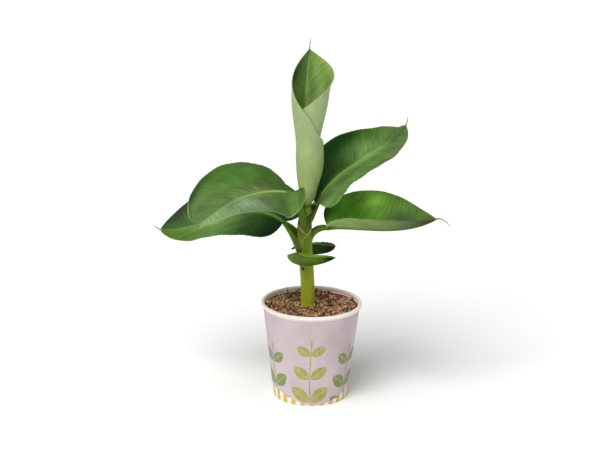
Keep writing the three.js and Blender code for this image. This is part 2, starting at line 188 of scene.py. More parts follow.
# The top leaf is rolled about an upright axis that bows sideways: its midrib runs up the back, its left
# half wraps round the front over its right half, and the roll opens to a scoop under the tip. Dip narrows
# a half at its middle, and flare turns its margin outwards at a share of the length.
ROLLED_LEAF = dict(
    axis_foot=(-8, 3, 247.8), axis_tip=(-1.7, 3, 452), bow=-2.4,
    radii=(5.8, 9, 12.3, 14, 15, 18.7, 22.5, 24, 24, 23.4),
    left=dict(width=72, dip=0.15, flare=7, flare_at=0.29, flare_span=0.13),
    right=dict(width=113, dip=0, flare=4.5, flare_at=0.88, flare_span=0.09), full=0.78, taper=1.14,
    thread=(13, -160, 100), layer=1.4, twist=15, core_top=0.2, core_radius=7.3,
    # Its greens and marks, like the spread leaves', are its own colour with painted light and shade in them
    above=(("#6a8744", "#7c9e44", "#4d643a"), ("#cac893", "#e4dda6", "#778c4b")),
    below=("#445f17", "#899e5b", "#9bae7a", "#9fb07d"),
    spots_and_shading=(
        (0.6, 0.75, 0.4, 0.12, "#768c50", 0.8), (-0.75, 0.85, 0.2, 0.1, "#132707", 0.7),
        (0.12, 0.8, 0.15, 0.3, "#497a23", 0.8), (0.0, 0.85, 0.02, 0.3, "#8ab85f", 0.9),
        (0.55, 0.85, 0.35, 0.25, "#69903d", 0.7), (-0.5, 0.93, 0.4, 0.09, "#496629", 0.7),
        (0.8, 0.8, 0.05, 0.25, "#7c9a45", 0.5),
    ),
    ribs=(0.8, 0.8), rim=(0.4, 0.5, 0.5),
)


def linear(hex_colour):
    """sRGB hex colour as linear red, green, blue and alpha."""
    shares = [int(hex_colour[i:i + 2], 16) / 255 for i in (1, 3, 5)]
    return (*[s / 12.92 if s <= 0.04045 else ((s + 0.055) / 1.055) ** 2.4 for s in shares], 1.0)


def add_node(tree, kind, inputs=(), stops=(), **settings):
    """Adds a node; a kind with no prefix is a shader node's. Settings are its own properties.

    Inputs are its sockets by name or in order: a node or socket to link to, a hex colour or a value.
    Stops are a ramp's places and colours, hex or grey."""
    made = tree.nodes.new(kind if "Node" in kind else "ShaderNode" + kind)
    for key, value in settings.items():
        setattr(made, key, value)
    for key, value in inputs.items() if isinstance(inputs, dict) else enumerate(inputs):
        if isinstance(value, bpy.types.Node):
            value = value.outputs[0]
        if isinstance(value, bpy.types.NodeSocket):
            tree.links.new(value, made.inputs[key])
        else:
            made.inputs[key].default_value = linear(value) if isinstance(value, str) else value
    for i, (place, colour) in enumerate(stops):
        element = made.color_ramp.elements[i] if i < 2 else made.color_ramp.elements.new(place)
        element.position = place
        element.color = linear(colour) if isinstance(colour, str) else (colour, colour, colour, 1)
    return made


def mix(a, b, share):
    return a + (b - a) * share


def smooth(low, high, value):
    """0 below low, 1 above high, eased between."""
    share = np.clip((value - low) / (high - low), 0, 1)
    return share * share * (3 - 2 * share)


def bell(value, middle, spread):
    """1 at the middle, falling off on both sides."""
    return np.exp(-(((value - middle) / spread) ** 2))


def through(base, middle, tip, v):
    """Quadratic through three values at 0, a half and 1."""
    return base * (1 - v) * (1 - 2 * v) + middle * 4 * v * (1 - v) + tip * v * (2 * v - 1)


def outline(t, full, taper):
    """Share of the full half width at t along a blade: round at the base, tapering to the tip."""
    widest = full / (full + taper)
    share = np.maximum(t, 0) ** full * np.maximum(1 - t, 0) ** taper
    return share / (widest ** full * (1 - widest) ** taper)


def unit(vectors):
    return vectors / np.linalg.norm(vectors, axis=-1, keepdims=True)


def heading(azimuth, elevation):
    """Directions of angles in radians."""
    level = np.cos(elevation)
    return np.stack([level * np.cos(azimuth), level * np.sin(azimuth), np.sin(elevation)], -1)


def circle(radius, turn, height):
    """Points round the upright axis."""
    return np.stack(np.broadcast_arrays(radius * np.cos(turn), radius * np.sin(turn), height), -1)


def put(name, data):
    """A new object in the scene."""
    made = bpy.data.objects.new(name, data)
    bpy.context.scene.collection.objects.link(made)
    return made


def mesh_object(name, vertices, faces, materials, slots=None, uvs=(), attributes=()):
    """A smooth-shaded object from points in millimetres. uvs and attributes hold values per vertex."""
    mesh = bpy.data.meshes.new(name)
    mesh.from_pydata((np.reshape(vertices, (-1, 3)) * MM).tolist(), [], faces)
    for material in materials:
        mesh.materials.append(material)
    if slots is not None:
        mesh.polygons.foreach_set("material_index", np.asarray(slots, np.int32))
    corners = np.empty(len(mesh.loops), np.int32)
    mesh.loops.foreach_get("vertex_index", corners)
    for label, values in dict(uvs).items():
        layer = mesh.uv_layers.new(name=label)
        layer.data.foreach_set("uv", np.reshape(values, (-1, 2)).astype(np.float32)[corners].ravel())
    for label, values in dict(attributes).items():
        values = np.asarray(values, np.float32)
        coloured = values.ndim == 2
        layer = mesh.attributes.new(label, "FLOAT_COLOR" if coloured else "FLOAT", "POINT")
        layer.data.foreach_set("color" if coloured else "value", values.ravel())
    mesh.polygons.foreach_set("use_smooth", np.ones(len(mesh.polygons), bool))
    mesh.validate()
    mesh.update()
    return put(name, mesh)


def hand_in(piece, slot, *nodes):
    """Ties a finished piece to the plant's body and hides the imported parts that it stands for. The slot is
    not used.
    """
    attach(piece, BODY)
    if nodes:
        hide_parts(*nodes)


def ring_faces(rings, count):
    """Quads between closed rings that each hold count points."""
    i, j = np.meshgrid(np.arange(rings - 1), np.arange(count), indexing="ij")
    a, b = i * count + j, i * count + (j + 1) % count
    return np.stack([a, b, b + count, a + count], -1).reshape(-1, 4)


def fan(start, count, hub):
    """Triangles between a ring, from its first point on, and a hub."""
    return [[start + j, start + (j + 1) % count, hub] for j in range(count)]


def tube(name, rows, places, materials, channel=False, around=None, flip=False):
    """A tube through rings of points, capped at its ends, with places along it and around it.

    Channel says which faces between the rings take the second material."""
    rings, count = rows.shape[:2]
    last = (rings - 1) * count
    faces = ring_faces(rings, count).tolist() + [list(range(count))[::-1], list(range(last, last + count))]
    if flip:
        faces = [face[::-1] for face in faces]
    around = np.linspace(0, 1, count) if around is None else around
    slots = np.append(np.broadcast_to(channel, (rings - 1, count)).ravel(), [0, 0])
    uv = np.stack(np.broadcast_arrays(around, places[:, None]), -1)
    return mesh_object(name, rows, faces, materials, slots, {"place": uv})


def both_faces(values):
    """Values of a sheet repeated for the two rows of each of its slab's rings."""
    return np.concatenate([values, values[:, ::-1]], 1).reshape(-1, *values.shape[2:])


def tone_and_shade(leaf, where):
    """A leaf's attributes at points with this reach and share of its length: the colours of its faces,
    which carry painted light and shade, and how strong its brown streaks, its veins and its pale margin are."""
    reach, t = where[..., 0], where[..., 1]
    greens = []
    for half in (*leaf["above"], leaf["below"]):
        places = (0.02, 0.14, 0.5, 0.9) if len(half) == 4 else (0.1, 0.5, 0.9)
        channels = zip(*[linear(colour) for colour in half])
        greens.append(np.stack([np.interp(t, places, channel) for channel in channels], -1))
    above = mix(greens[0], greens[1], smooth(-0.04, 0.04, reach)[..., None])
    # Marks lay lighter and darker places over the greens, some of them painted light and shade
    for at_reach, at_t, reach_spread, t_spread, colour, strength in leaf.get("spots_and_shading", ()):
        spot = strength * bell(reach, at_reach, reach_spread) * bell(t, at_t, t_spread)
        above = mix(above, np.array(linear(colour)), spot[..., None])
    left, right, tip = leaf["rim"]
    rim = mix(np.where(reach < 0, left, right), tip, smooth(0.82, 0.92, t))
    return {
        "tone_and_shade": np.concatenate([above, greens[2][:, ::-1]], 1).reshape(-1, 4),
        "stain": both_faces(np.where(reach < 0, *leaf.get("stain", (0, 0)))),
        "ribs": both_faces(np.where(reach < 0, *leaf["ribs"])),
        "rim": both_faces(rim),
    }


def blade_object(name, leaf, sheet, normals, thickness, where, veins, materials):
    """A leaf's blade, a closed slab round a sheet of points: upper face, then underside and edges."""
    rings, across = sheet.shape[:2]
    count = 2 * across
    offset = normals * (thickness / 2)[..., None]
    vertices = np.concatenate([sheet + offset, (sheet - offset)[:, ::-1]], 1)
    j = np.arange(across - 1)
    first = np.stack([j, count - 1 - j, count - 2 - j, j + 1], -1)
    faces = np.concatenate([ring_faces(rings, count), first, first[:, ::-1] + (rings - 1) * count])
    slots = np.ones(len(faces), int)
    slots[:(rings - 1) * count] = np.tile(np.arange(count) >= across - 1, rings - 1)
    uvs = {"veins": both_faces(veins), "place": both_faces(where)}
    return mesh_object(name, vertices, faces.tolist(), materials, slots, uvs, tone_and_shade(leaf, where))


def stalk_share(leaf):
    """Share of a spread leaf's whole length that its stalk takes."""
    return leaf["stalk"] / (leaf["stalk"] + leaf["length"])


def midrib(leaf, steps=120):
    """Places u, points, headings and sideways directions along a leaf, from its foot to its tip."""
    u = np.linspace(0, 1, steps + 1)
    start = stalk_share(leaf)
    azimuth, elevation = np.radians([
        np.where(
            u < start,
            foot + (base - foot) * np.clip(u / start, 0, 1) ** leaf["arch"],
            through(base, middle, tip, (u - start) / (1 - start)),
        )
        for foot, base, middle, tip in (leaf["azimuth"], leaf["elevation"])
    ])
    along = heading(azimuth, elevation)
    side = np.stack([np.sin(azimuth), -np.cos(azimuth), 0 * azimuth], -1)
    moves = (along[1:] + along[:-1]) / 2 * ((leaf["stalk"] + leaf["length"]) / steps)
    return u, np.vstack([[0, 0, 0], np.cumsum(moves, 0)]) + leaf["foot"], along, side


def frame_at(leaf, places):
    """Points, headings, sideways and upward directions of a leaf at places along it, with its roll."""
    u, *tables = midrib(leaf)
    point, along, side = (
        np.stack([np.interp(places, u, column) for column in table.T], -1) for table in tables
    )
    along = unit(along)
    side = unit(side - along * (side * along).sum(-1, keepdims=True))
    up = np.cross(side, along)
    start = stalk_share(leaf)
    t = (places - start) / (1 - start)
    base_roll, tip_roll = leaf["roll"]
    roll = np.radians(np.where(t < 0, base_roll * (places / start) ** 2, mix(base_roll, tip_roll, t)))
    turn, rise = np.cos(roll)[:, None], np.sin(roll)[:, None]
    return point, along, side * turn + up * rise, up * turn - side * rise, t


def leaf_scale(leaf):
    """Thickness of a leaf's midrib as a share of a full-size leaf's."""
    return min(1, 0.3 + leaf["length"] / 200)


def spread_sheet(leaf, rings, across, seed):
    """Middle surface of a spread blade from its left margin to its right, with its normals.

    The last two results give each point's reach (-1 to 1) and share of the length, and its signed
    distance from the midrib and its place along the lateral veins, in millimetres."""
    t = (1 - np.cos(np.pi * np.linspace(0.012, 0.988, rings))) / 2
    point, along, side, up, _ = frame_at(leaf, mix(stalk_share(leaf), 1, t))
    noise = np.random.default_rng(seed)
    columns = []
    humps = leaf.get("humps", ((), ()))
    for sign, part, swells in ((-1, leaf["left"], humps[0]), (1, leaf["right"], humps[1])):
        share = np.maximum(outline(t, part.get("full", leaf["full"]), leaf["taper"]), 0.02)
        for middle, spread, change in swells:
            share = share * (1 + change * bell(t, middle, spread))
        turned = part.get("lift", 0) * (1 - t) ** 12
        phase = noise.uniform(0, 2 * np.pi, 3)
        at = point.copy()
        for j in range(1, across + 1):
            reach = j / across
            angle = np.radians(mix(*part["rise"], t) + turned + part["curl"] * (reach - 0.5 / across))
            level, rise = np.cos(angle)[:, None], np.sin(angle)[:, None]
            at = at + (side * sign * level + up * rise) * (part["width"] * share / across)[:, None]
            normal = up * level - side * sign * rise
            back = part["corner"] * (1 - t) ** 3 * reach ** 1.5 * share
            arc = part["width"] * share * reach
            vein = t * leaf["length"] - 0.42 * arc
            beat = 2 * np.pi * leaf["waves"] * t
            wave = np.sin(beat + phase[0]) * reach ** 3 + 0.6 * np.sin(2.3 * beat + phase[1]) * reach ** 4
            # Pleats follow the veins, 6.5 mm apart
            pleat = 0.22 * np.sin(2 * np.pi * vein / 6.5 + phase[2]) * smooth(0.04, 0.2, reach)
            lift = (leaf["ripple"] * wave * np.minimum(1, 6 * t) + pleat) * np.minimum(1, 4 * (1 - t))
            place = at - along * back[:, None] + normal * lift[:, None]
            columns.append((sign * reach, place, normal, sign * arc, vein))
    columns.append((0, point, up, 0 * t, t * leaf["length"]))
    columns.sort(key=lambda column: column[0])
    reach, sheet, normals, *veins = zip(*columns)
    where = np.stack(np.broadcast_arrays(np.array(reach), t[:, None]), -1)
    return np.stack(sheet, 1), np.stack(normals, 1), where, np.stack([np.stack(v, 1) for v in veins], -1)


def section(open_share):
    """Outline of a stalk, an open channel, as it closes to the ridge of a midrib under the blade."""
    below = np.pi + np.pi * np.linspace(0, 1, UNDER)
    above = np.pi * np.linspace(0, 1, UNDER // 2 + 2)[1:-1]
    outer = 1.5 * np.pi + (below - 1.5 * np.pi) * 1.34
    inner = np.linspace(outer[-1], outer[0], len(above) + 2)[1:-1]
    channel = np.concatenate([
        np.stack([0.85 * np.cos(outer), np.sin(outer)], -1),
        np.stack([0.6 * np.cos(inner), 0.7 * np.sin(inner) + 0.1], -1),
    ])
    ridge = np.concatenate([
        np.stack([0.8 * np.cos(below), 0.95 * np.sin(below) - 0.05], -1),
        np.stack([0.6 * np.cos(above), 0.16 + 0 * above], -1),
    ])
    return ridge + (channel - ridge) * np.asarray(open_share)[:, None, None]


def stalk_and_midrib(name, leaf, materials, rings=90):
    """Stalk and midrib of a spread leaf in one piece: materials for its underside and its channel."""
    places = np.linspace(0, 1, rings)
    point, along, side, up, t = frame_at(leaf, places)
    size = leaf_scale(leaf)
    up_stalk = np.clip(places / stalk_share(leaf), 0, 1)
    # The stalk swells out of the stem from a narrow foot
    on_stalk = mix(leaf["stalk_radius"], RIB["base"] * size, up_stalk ** 2.2)
    on_stalk = on_stalk * mix(0.5, 1, smooth(0, 0.3, up_stalk))
    on_blade = mix(RIB["base"], RIB["tip"], np.sqrt(np.clip(t, 0, 1))) * size
    neck = leaf.get("neck", 0)
    on_stalk, on_blade = on_stalk + neck * up_stalk ** 2.2, on_blade + neck * (1 - smooth(0, 0.09, t))
    shape = section(1 - smooth(-0.06, 0.1, t)) * np.where(t < 0, on_stalk, on_blade)[:, None, None]
    # The ridge stands a little above the blade along its whole length
    shape[:, UNDER:, 1] += 0.22 * smooth(0, 0.1, t)[:, None]
    lifted = leaf.get("raised", 0) * (1 - up_stalk) + leaf.get("bulge", 0) * np.sin(np.pi * up_stalk)
    shape[..., 1] += lifted[:, None]
    rows = point[:, None] + side[:, None] * shape[..., :1] + up[:, None] * shape[..., 1:]
    channel = (np.arange(rows.shape[1]) >= UNDER - 1) & (t[:-1, None] > -0.03)
    return tube(name, rows, places, materials, channel, flip=True)


def roll_radius(t):
    """Radius of the roll at t up its axis, eased through its named radii."""
    radii = np.array(ROLLED_LEAF["radii"])
    place = np.clip(t, 0, 1) * (len(radii) - 1)
    i = np.minimum(place.astype(int), len(radii) - 2)
    padded = np.concatenate([[2 * radii[0] - radii[1]], radii, [2 * radii[-1] - radii[-2]]])
    p0, p1, p2, p3 = (padded[i + k] for k in range(4))
    x = place - i
    return p1 + x / 2 * (p2 - p0 + x * (2 * p0 - 5 * p1 + 4 * p2 - p3 + x * (3 * (p1 - p2) + p3 - p0)))


def roll_axis(t):
    """Points of the rolled leaf's axis, which bows sideways."""
    t = np.asarray(t)[..., None]
    point = mix(*(np.array(ROLLED_LEAF[end], float) for end in ("axis_foot", "axis_tip")), t)
    return point + np.array([ROLLED_LEAF["bow"], 0, 0]) * 4 * t * (1 - t)


def roll_place(t, reach):
    """Points of the rolled leaf, what points outward there, and the signed distance from the midrib."""
    leaf = ROLLED_LEAF
    share = outline(np.minimum(t + 0.002, 1), leaf["full"], leaf["taper"])
    radius = roll_radius(t)
    distance, flare = 0 * t * reach, 0 * t * reach
    for sign, half in ((1, leaf["left"]), (-1, leaf["right"])):
        mine = reach * sign > 0
        width = half["width"] * share * (1 - half["dip"] * bell(t, 0.5, 0.09))
        distance = np.where(mine, reach * width, distance)
        swell = half["flare"] * bell(t, half["flare_at"], half["flare_span"])
        flare = np.where(mine, swell * reach ** 4, flare)
    turn = distance / radius
    angle = turn + math.radians(leaf["twist"])
    outward = np.stack([-np.sin(angle), np.cos(angle), 0 * angle], -1)
    reach_out = radius + leaf["layer"] * turn / np.pi + flare
    return roll_axis(t) + outward * reach_out[..., None], outward, distance


def thread_points(tip, along, thread, count=8):
    """The dead thread at a leaf's tip, from the tip's heading round to the thread's own."""
    length, *angles = thread
    goal = heading(*np.radians(angles))
    points = [np.array(tip)]
    for i in range(1, count + 1):
        points.append(points[-1] + unit(mix(along, goal, (i / count) ** 0.6)) * length / count)
    return points


def node_group(name, inputs):
    """A geometry tree with these named inputs and one geometry output: the function that adds a node to
    it, and its input sockets by name."""
    tree = bpy.data.node_groups.new(name, "GeometryNodeTree")
    for label, kind in inputs.items():
        tree.interface.new_socket(name=label, in_out="INPUT", socket_type="NodeSocket" + kind)
    tree.interface.new_socket(name="Result", in_out="OUTPUT", socket_type="NodeSocketGeometry")
    add = partial(add_node, tree)
    return add, add("NodeGroupInput").outputs


def run_tree(name, source, add, geometry, material, values):
    """Ends a geometry tree in real instances and their material, runs it on an object with these values,
    and returns the result as an object with a plain mesh."""
    real = add("GeometryNodeRealizeInstances", {"Geometry": geometry})
    dressed = add("GeometryNodeSetMaterial", {"Geometry": real, "Material": material})
    tree = add("NodeGroupOutput", {"Result": dressed}).id_data
    modifier = source.modifiers.new(name, "NODES")
    modifier.node_group = tree
    for item in tree.interface.items_tree:
        if item.in_out == "INPUT" and item.name in values:
            modifier[item.identifier] = values[item.name]
    graph = bpy.context.evaluated_depsgraph_get()
    mesh = bpy.data.meshes.new_from_object(source.evaluated_get(graph), depsgraph=graph)
    bpy.data.objects.remove(source)
    mesh.polygons.foreach_set("use_smooth", np.ones(len(mesh.polygons), bool))
    return put(name, mesh)


def sweep(name, paths, radii, material, sides, thickness):
    """Sweeps a round section, of this radius in millimetres, along open paths. Radii are shares of it."""
    curve = bpy.data.curves.new(name, "CURVE")
    curve.dimensions = "3D"
    for points, widths in zip(paths, radii):
        spline = curve.splines.new("POLY")
        spline.points.add(len(points) - 1)
        for target, point, width in zip(spline.points, points, widths):
            target.co = (*(np.asarray(point) * MM), 1)
            target.radius = width
    add, given = node_group("Sweep along paths", {"Paths": "Geometry", "Thickness": "Float"})
    profile = add("GeometryNodeCurvePrimitiveCircle", {"Resolution": sides, "Radius": given["Thickness"]})
    swept = add("GeometryNodeCurveToMesh", {
        "Curve": given["Paths"], "Profile Curve": profile, "Fill Caps": True,
        "Scale": add("GeometryNodeInputRadius"),
    })
    return run_tree(name, put(name, curve), add, swept, material, {"Thickness": thickness * MM})


# Finishes


def start_material(name):
    """An empty material and the function that adds a node to it."""
    material = bpy.data.materials.new(name)
    material.use_nodes = True
    material.node_tree.nodes.clear()
    return material, partial(add_node, material.node_tree)


def close_material(material, add, colour, sockets, relief=None, strength=0, depth=0):
    """Ends a material in one principled shader, with a relief that is depth millimetres deep."""
    if relief is not None:
        bump = add("Bump", {"Height": relief, "Strength": strength, "Distance": depth * MM})
        sockets = {**sockets, "Normal": bump}
    add("OutputMaterial", {"Surface": add("BsdfPrincipled", {**sockets, "Base Color": colour})})
    return material


def drawn_noise(add, vector, sizes, detail=2.0, rough=0.5):
    """Noise whose blotches have these sizes along the vector's axes."""
    scaled = add("Mapping", {"Vector": vector, "Scale": [1 / size for size in sizes]})
    return add("TexNoise", {"Vector": scaled, "Scale": 1, "Detail": detail, "Roughness": rough})


def mottled(name, size, stops, sockets, detail=2.0, rough=0.5, relief=None):
    """A material mottled between two colours at a size in millimetres. Relief is strength and depth."""
    material, add = start_material(name)
    mottle = add("TexNoise", {
        "Vector": add("TexCoord").outputs["Object"], "Scale": 1 / (size * MM), "Detail": detail,
        "Roughness": rough,
    })
    colour = add("ValToRGB", (mottle,), stops)
    if relief:
        return close_material(material, add, colour, sockets, mottle, *relief)
    return close_material(material, add, colour, sockets)


def grain_material(name, dark, pale, size):
    """Peat, bark or coir: matte organic crumbs, mottled at their own size in millimetres."""
    look = {"Roughness": 0.9, "IOR": 1.35}
    return mottled(name, size, ((0.34, dark), (0.64, pale)), look, 4, 0.65, (0.6, 0.8))


def tone_and_shade_base(add, spacing, depth, coarse):
    """Colour of a leaf's face from its greens, with painted light and shade in them, lined and streaked
    along its lateral veins.

    Veins stand spacing apart in millimetres, depth is how dark they are, coarse how strong the streaks."""
    veins = add("UVMap", uv_map="veins")
    rib = drawn_noise(add, veins, (80, spacing, 1), 1.5)
    streak = drawn_noise(add, veins, (36, 3.6, 1), 4, 0.6)
    cloud = drawn_noise(add, veins, (18, 24, 1), 3)
    strength = add("Attribute", attribute_name="ribs").outputs["Fac"]
    wave = add("MapRange", (rib, 0.3, 0.7, -depth, depth))
    lines = add("Math", (wave, strength, 1.0), operation="MULTIPLY_ADD")
    bands = add("MapRange", (streak, 0.3, 0.7, 1 - coarse, 1 + coarse))
    patches = add("MapRange", (cloud, 0.3, 0.7, 1 - 1.6 * coarse, 1 + 1.6 * coarse))
    both = add("Math", (lines, bands), operation="MULTIPLY")
    shade = add("Math", (both, patches), operation="MULTIPLY")
    # The leaf's greens, with painted light and shade in them
    tone = add("Attribute", attribute_name="tone_and_shade")
    return add("MixRGB", (1.0, tone, shade), blend_type="MULTIPLY"), rib, streak


def lamina_above(name, settings):
    """A living leaf's upper face: waxy, so a broad satin highlight lies over its fine lateral veins."""
    material, add = start_material(name)
    # Veins are drawn 2.1 mm apart, coarser than life, because finer ones don't show
    coloured, rib, streak = tone_and_shade_base(add, 2.1, 0.13, 0.14)
    place = add("SeparateXYZ", (add("UVMap", uv_map="place"),)).outputs
    off_centre = add("Math", (place["X"],), operation="ABSOLUTE")
    # Brown streaks lie beside the midrib, over the middle of the blade
    beside = add("ValToRGB", (off_centre,), ((0.05, 0), (0.1, 1), (0.28, 0.9), (0.5, 0)))
    between = add("ValToRGB", (place["Y"],), ((0.12, 0), (0.28, 1), (0.66, 1), (0.85, 0)))
    strength = add("Attribute", attribute_name="stain").outputs["Fac"]
    patch = add("MapRange", (streak, 0.48, 0.6, 0.0, 0.85))
    near = add("Math", (beside, between), operation="MULTIPLY")
    strong = add("Math", (near, strength), operation="MULTIPLY")
    stain = add("Math", (strong, patch), operation="MULTIPLY")
    stained = add("MixRGB", (stain, coloured, settings.brown))
    # The margin dries to a pale line about 1 mm wide
    pale = add("Attribute", attribute_name="rim").outputs["Fac"]
    edge = add("MapRange", (off_centre, 0.955, 0.98, 0.0, 1.0))
    rim = add("Math", (edge, pale), operation="MULTIPLY")
    edged = add("MixRGB", (rim, stained, settings.margin))
    look = {"Roughness": 0.5, "IOR": 1.45, "Specular IOR Level": 0.18}
    return close_material(material, add, edged, look, rib, 0.35, 0.3)


def lamina_below(name, depth):
    """A leaf's underside: a bloom of wax makes it pale and matte, lined by its raised veins."""
    material, add = start_material(name)
    # Veins are drawn 2.4 mm apart, coarser than life, because finer ones don't show
    coloured, rib, _ = tone_and_shade_base(add, 2.4, depth, depth)
    look = {"Roughness": 0.65, "IOR": 1.4, "Specular IOR Level": 0.3}
    return close_material(material, add, coloured, look, rib, 0.25, 0.3)


def stalk_skin(name, colour, foot_tint_and_shade, roughness=0.42, tip=None):
    """Smooth skin of a stalk or midrib: firm and waxy, with lengthwise fibres and a darker tint at the foot,
    partly its own colour and partly painted shade where it meets the stem.
    """
    material, add = start_material(name)
    place = add("UVMap", uv_map="place")
    # Fibres run the length of the stalk, about 1 mm apart round it
    fibre = drawn_noise(add, place, (1 / 24, 1 / 3, 1), 3)
    along = add("SeparateXYZ", (place,)).outputs["Y"]
    # The foot takes the darker tint, partly painted shade where the stalks crowd the stem
    low = add("MapRange", (along, 0.02, 0.3, 0.75, 0.0))
    share = add("Math", (low, fibre), operation="MULTIPLY")
    high = add("MapRange", (along, 0.4, 0.9, 0.0, 1.0))
    coloured = add("MixRGB", (share, add("MixRGB", (high, colour, tip or colour)), foot_tint_and_shade))
    grain = add("MapRange", (fibre, 0.3, 0.7, 0.82, 1.12))
    lit = add("MixRGB", (1.0, coloured, grain), blend_type="MULTIPLY")
    look = {"Roughness": roughness, "IOR": 1.45, "Specular IOR Level": 0.15}
    return close_material(material, add, lit, look, fibre, 0.25, 0.3)


def sheath_skin(settings):
    """Leaf sheaths: firm, moist and satin, yellow-green low down and olive higher, with papery margins."""
    material, add = start_material("Leaf sheath")
    height, tinge_and_shade, edge = (
        add("Attribute", attribute_name=label).outputs["Fac"] for label in ("height", "tinge_and_shade", "margin")
    )
    # Fibres run up the stem, drawn 1.6 mm apart
    fibre = drawn_noise(add, add("TexCoord").outputs["Object"], (1.6 * MM, 1.6 * MM, 40 * MM), 3)
    body = add("ValToRGB", (height,), (
        (0.0, settings.foot_colour), (0.4, settings.low_colour), (0.62, settings.sheath_colour),
        (0.9, settings.bundle_colour),
    ))
    grain = add("MapRange", (fibre, 0.3, 0.7, 0.78, 1.15))
    lit = add("MixRGB", (1.0, body, grain), blend_type="MULTIPLY")
    # Where the brown is strongest it darkens to the dark joint, partly painted shade
    brown = add("ValToRGB", (tinge_and_shade,), ((0.74, settings.tinge_colour), (0.84, settings.joint_and_shade_colour)))
    edged = add("MixRGB", (edge, add("MixRGB", (tinge_and_shade, lit, brown)), settings.margin_colour))
    look = {"Roughness": 0.4, "IOR": 1.45, "Specular IOR Level": 0.15}
    return close_material(material, add, edged, look, fibre, 0.3, 0.4)


def printed_board(settings):
    """Coated paper board, offset printed: a matte lilac wash with sprigs of oval leaves and a striped foot.

    The print is drawn on the unrolled wall, in millimetres round the pot and up it."""
    material, add = start_material("Printed paper board")
    spot = add("UVMap", uv_map="print")
    wash = drawn_noise(add, spot, (40, 55, 1), 4, 0.55)
    # Brush marks of the leaves' ink, about 5 mm across
    brush = drawn_noise(add, spot, (5, 9, 1), 3)
    ground = add("ValToRGB", (wash,), ((0.35, settings.board_colour), (0.7, settings.wash_colour)))
    place = add("SeparateXYZ", (spot,))
    round_pot, height = place.outputs["X"], place.outputs["Y"]
    middle = settings.middle_radius / MM
    pitch = 2 * math.pi * middle / settings.sprigs
    column = add("Math", (round_pot, pitch), operation="DIVIDE")
    whole = add("Math", (column,), operation="FLOOR")
    odd = add("Math", (whole, 2.0), operation="FLOORED_MODULO")
    part = add("Math", (column,), operation="FRACT")
    centred = add("Math", (part, 0.5), operation="SUBTRACT")
    # A sprig's stem sways a little to both sides
    sway = add("Math", (height, 1 / 22), operation="MULTIPLY")
    swing = add("Math", (sway,), operation="SINE")
    bent = add("Math", (swing, 0.02, centred), operation="MULTIPLY_ADD")
    across = add("Math", (bent, pitch), operation="MULTIPLY")
    from_stem = add("Math", (across,), operation="ABSOLUTE")
    # Pairs of leaves stand apart up a sprig, half a step higher on every second one
    apart = 31.0
    shifted = add("Math", (odd, apart / 2, height), operation="MULTIPLY_ADD")
    row = add("Math", (shifted, 1 / apart), operation="MULTIPLY")
    up_row = add("Math", (row,), operation="FRACT")
    level = add("Math", (up_row, 0.5), operation="SUBTRACT")
    rise = add("Math", (level, apart), operation="MULTIPLY")
    size = add("MapRange", (height, 18.0, 112.0, 1.0, 0.5))
    # Leaves have their middles 13.6 mm beside the stem and lean up
    reach = add("Math", (size, -13.6, from_stem), operation="MULTIPLY_ADD")
    lean = math.radians(38)
    level_part = add("Math", (rise, math.sin(lean)), operation="MULTIPLY")
    rise_part = add("Math", (rise, math.cos(lean)), operation="MULTIPLY")
    long_way = add("Math", (reach, math.cos(lean), level_part), operation="MULTIPLY_ADD")
    short_way = add("Math", (reach, -math.sin(lean), rise_part), operation="MULTIPLY_ADD")
    # Each leaf is a pointed oval, 34 by 18 mm low down and smaller higher up, with a paler midrib
    half_length = add("Math", (size, 16.8), operation="MULTIPLY")
    half_width = add("Math", (size, 9.0), operation="MULTIPLY")
    to_tip = add("Math", (long_way, half_length), operation="DIVIDE")
    off_rib = add("Math", (short_way,), operation="ABSOLUTE")
    to_side = add("Math", (off_rib, half_width), operation="DIVIDE")
    off_leaf = add("Math", (to_tip, to_tip, to_side), operation="MULTIPLY_ADD")
    rough_edge = add("Math", (brush, 0.3, off_leaf), operation="MULTIPLY_ADD")
    oval = add("MapRange", (rough_edge, 1.08, 1.15, 1.0, 0.0))
    stalk = add("MapRange", (from_stem, 0.6, 1.0, 1.0, 0.0))
    shape = add("Math", (oval, stalk), operation="MAXIMUM")
    tall = add("Math", (odd, -apart / 2, 94.0), operation="MULTIPLY_ADD")
    below_top = add("Math", (height, tall), operation="LESS_THAN")
    sprig = add("Math", (shape, below_top), operation="MULTIPLY")
    ink = add("MapRange", (brush, 0.3, 0.7, 0.85, 1.0))
    inked = add("Math", (sprig, ink), operation="MULTIPLY")
    hue = add("Math", (odd, 0.5, brush), operation="MULTIPLY_ADD")
    tint = add("ValToRGB", (hue,), ((0.35, settings.olive_ink), (1.0, settings.green_ink)))
    vein = add("MapRange", (off_rib, 0.4, 0.8, 0.35, 0.0))
    veined = add("MixRGB", (vein, tint, settings.wash_colour))
    drawn = add("MixRGB", (inked, ground, veined))
    # Upright stripes round the foot under a wavy edge
    beat = add("Math", (round_pot, 2 / middle, 1.3), operation="MULTIPLY_ADD")
    wave = add("Math", (beat,), operation="SINE")
    top = add("Math", (wave, settings.band_wave / MM, settings.band_height / MM), operation="MULTIPLY_ADD")
    in_band = add("Math", (height, top), operation="LESS_THAN")
    stripes = add("Math", (round_pot, settings.stripes / middle), operation="MULTIPLY")
    bars = add("Math", (stripes,), operation="SINE")
    bar = add("MapRange", (bars, -0.25, 0.25, 0.0, 1.0))
    banded = add("MixRGB", (bar, settings.pale_stripe, settings.yellow_stripe))
    return close_material(
        material, add, add("MixRGB", (in_band, drawn, banded)), {"Roughness": 0.5, "IOR": 1.45},
    )


# Settings


def in_mm(name, millimetres, description):
    """A size as a setting, given in millimetres."""
    return bpy.props.FloatProperty(
        name=name, description=description, default=millimetres * MM, unit="LENGTH")


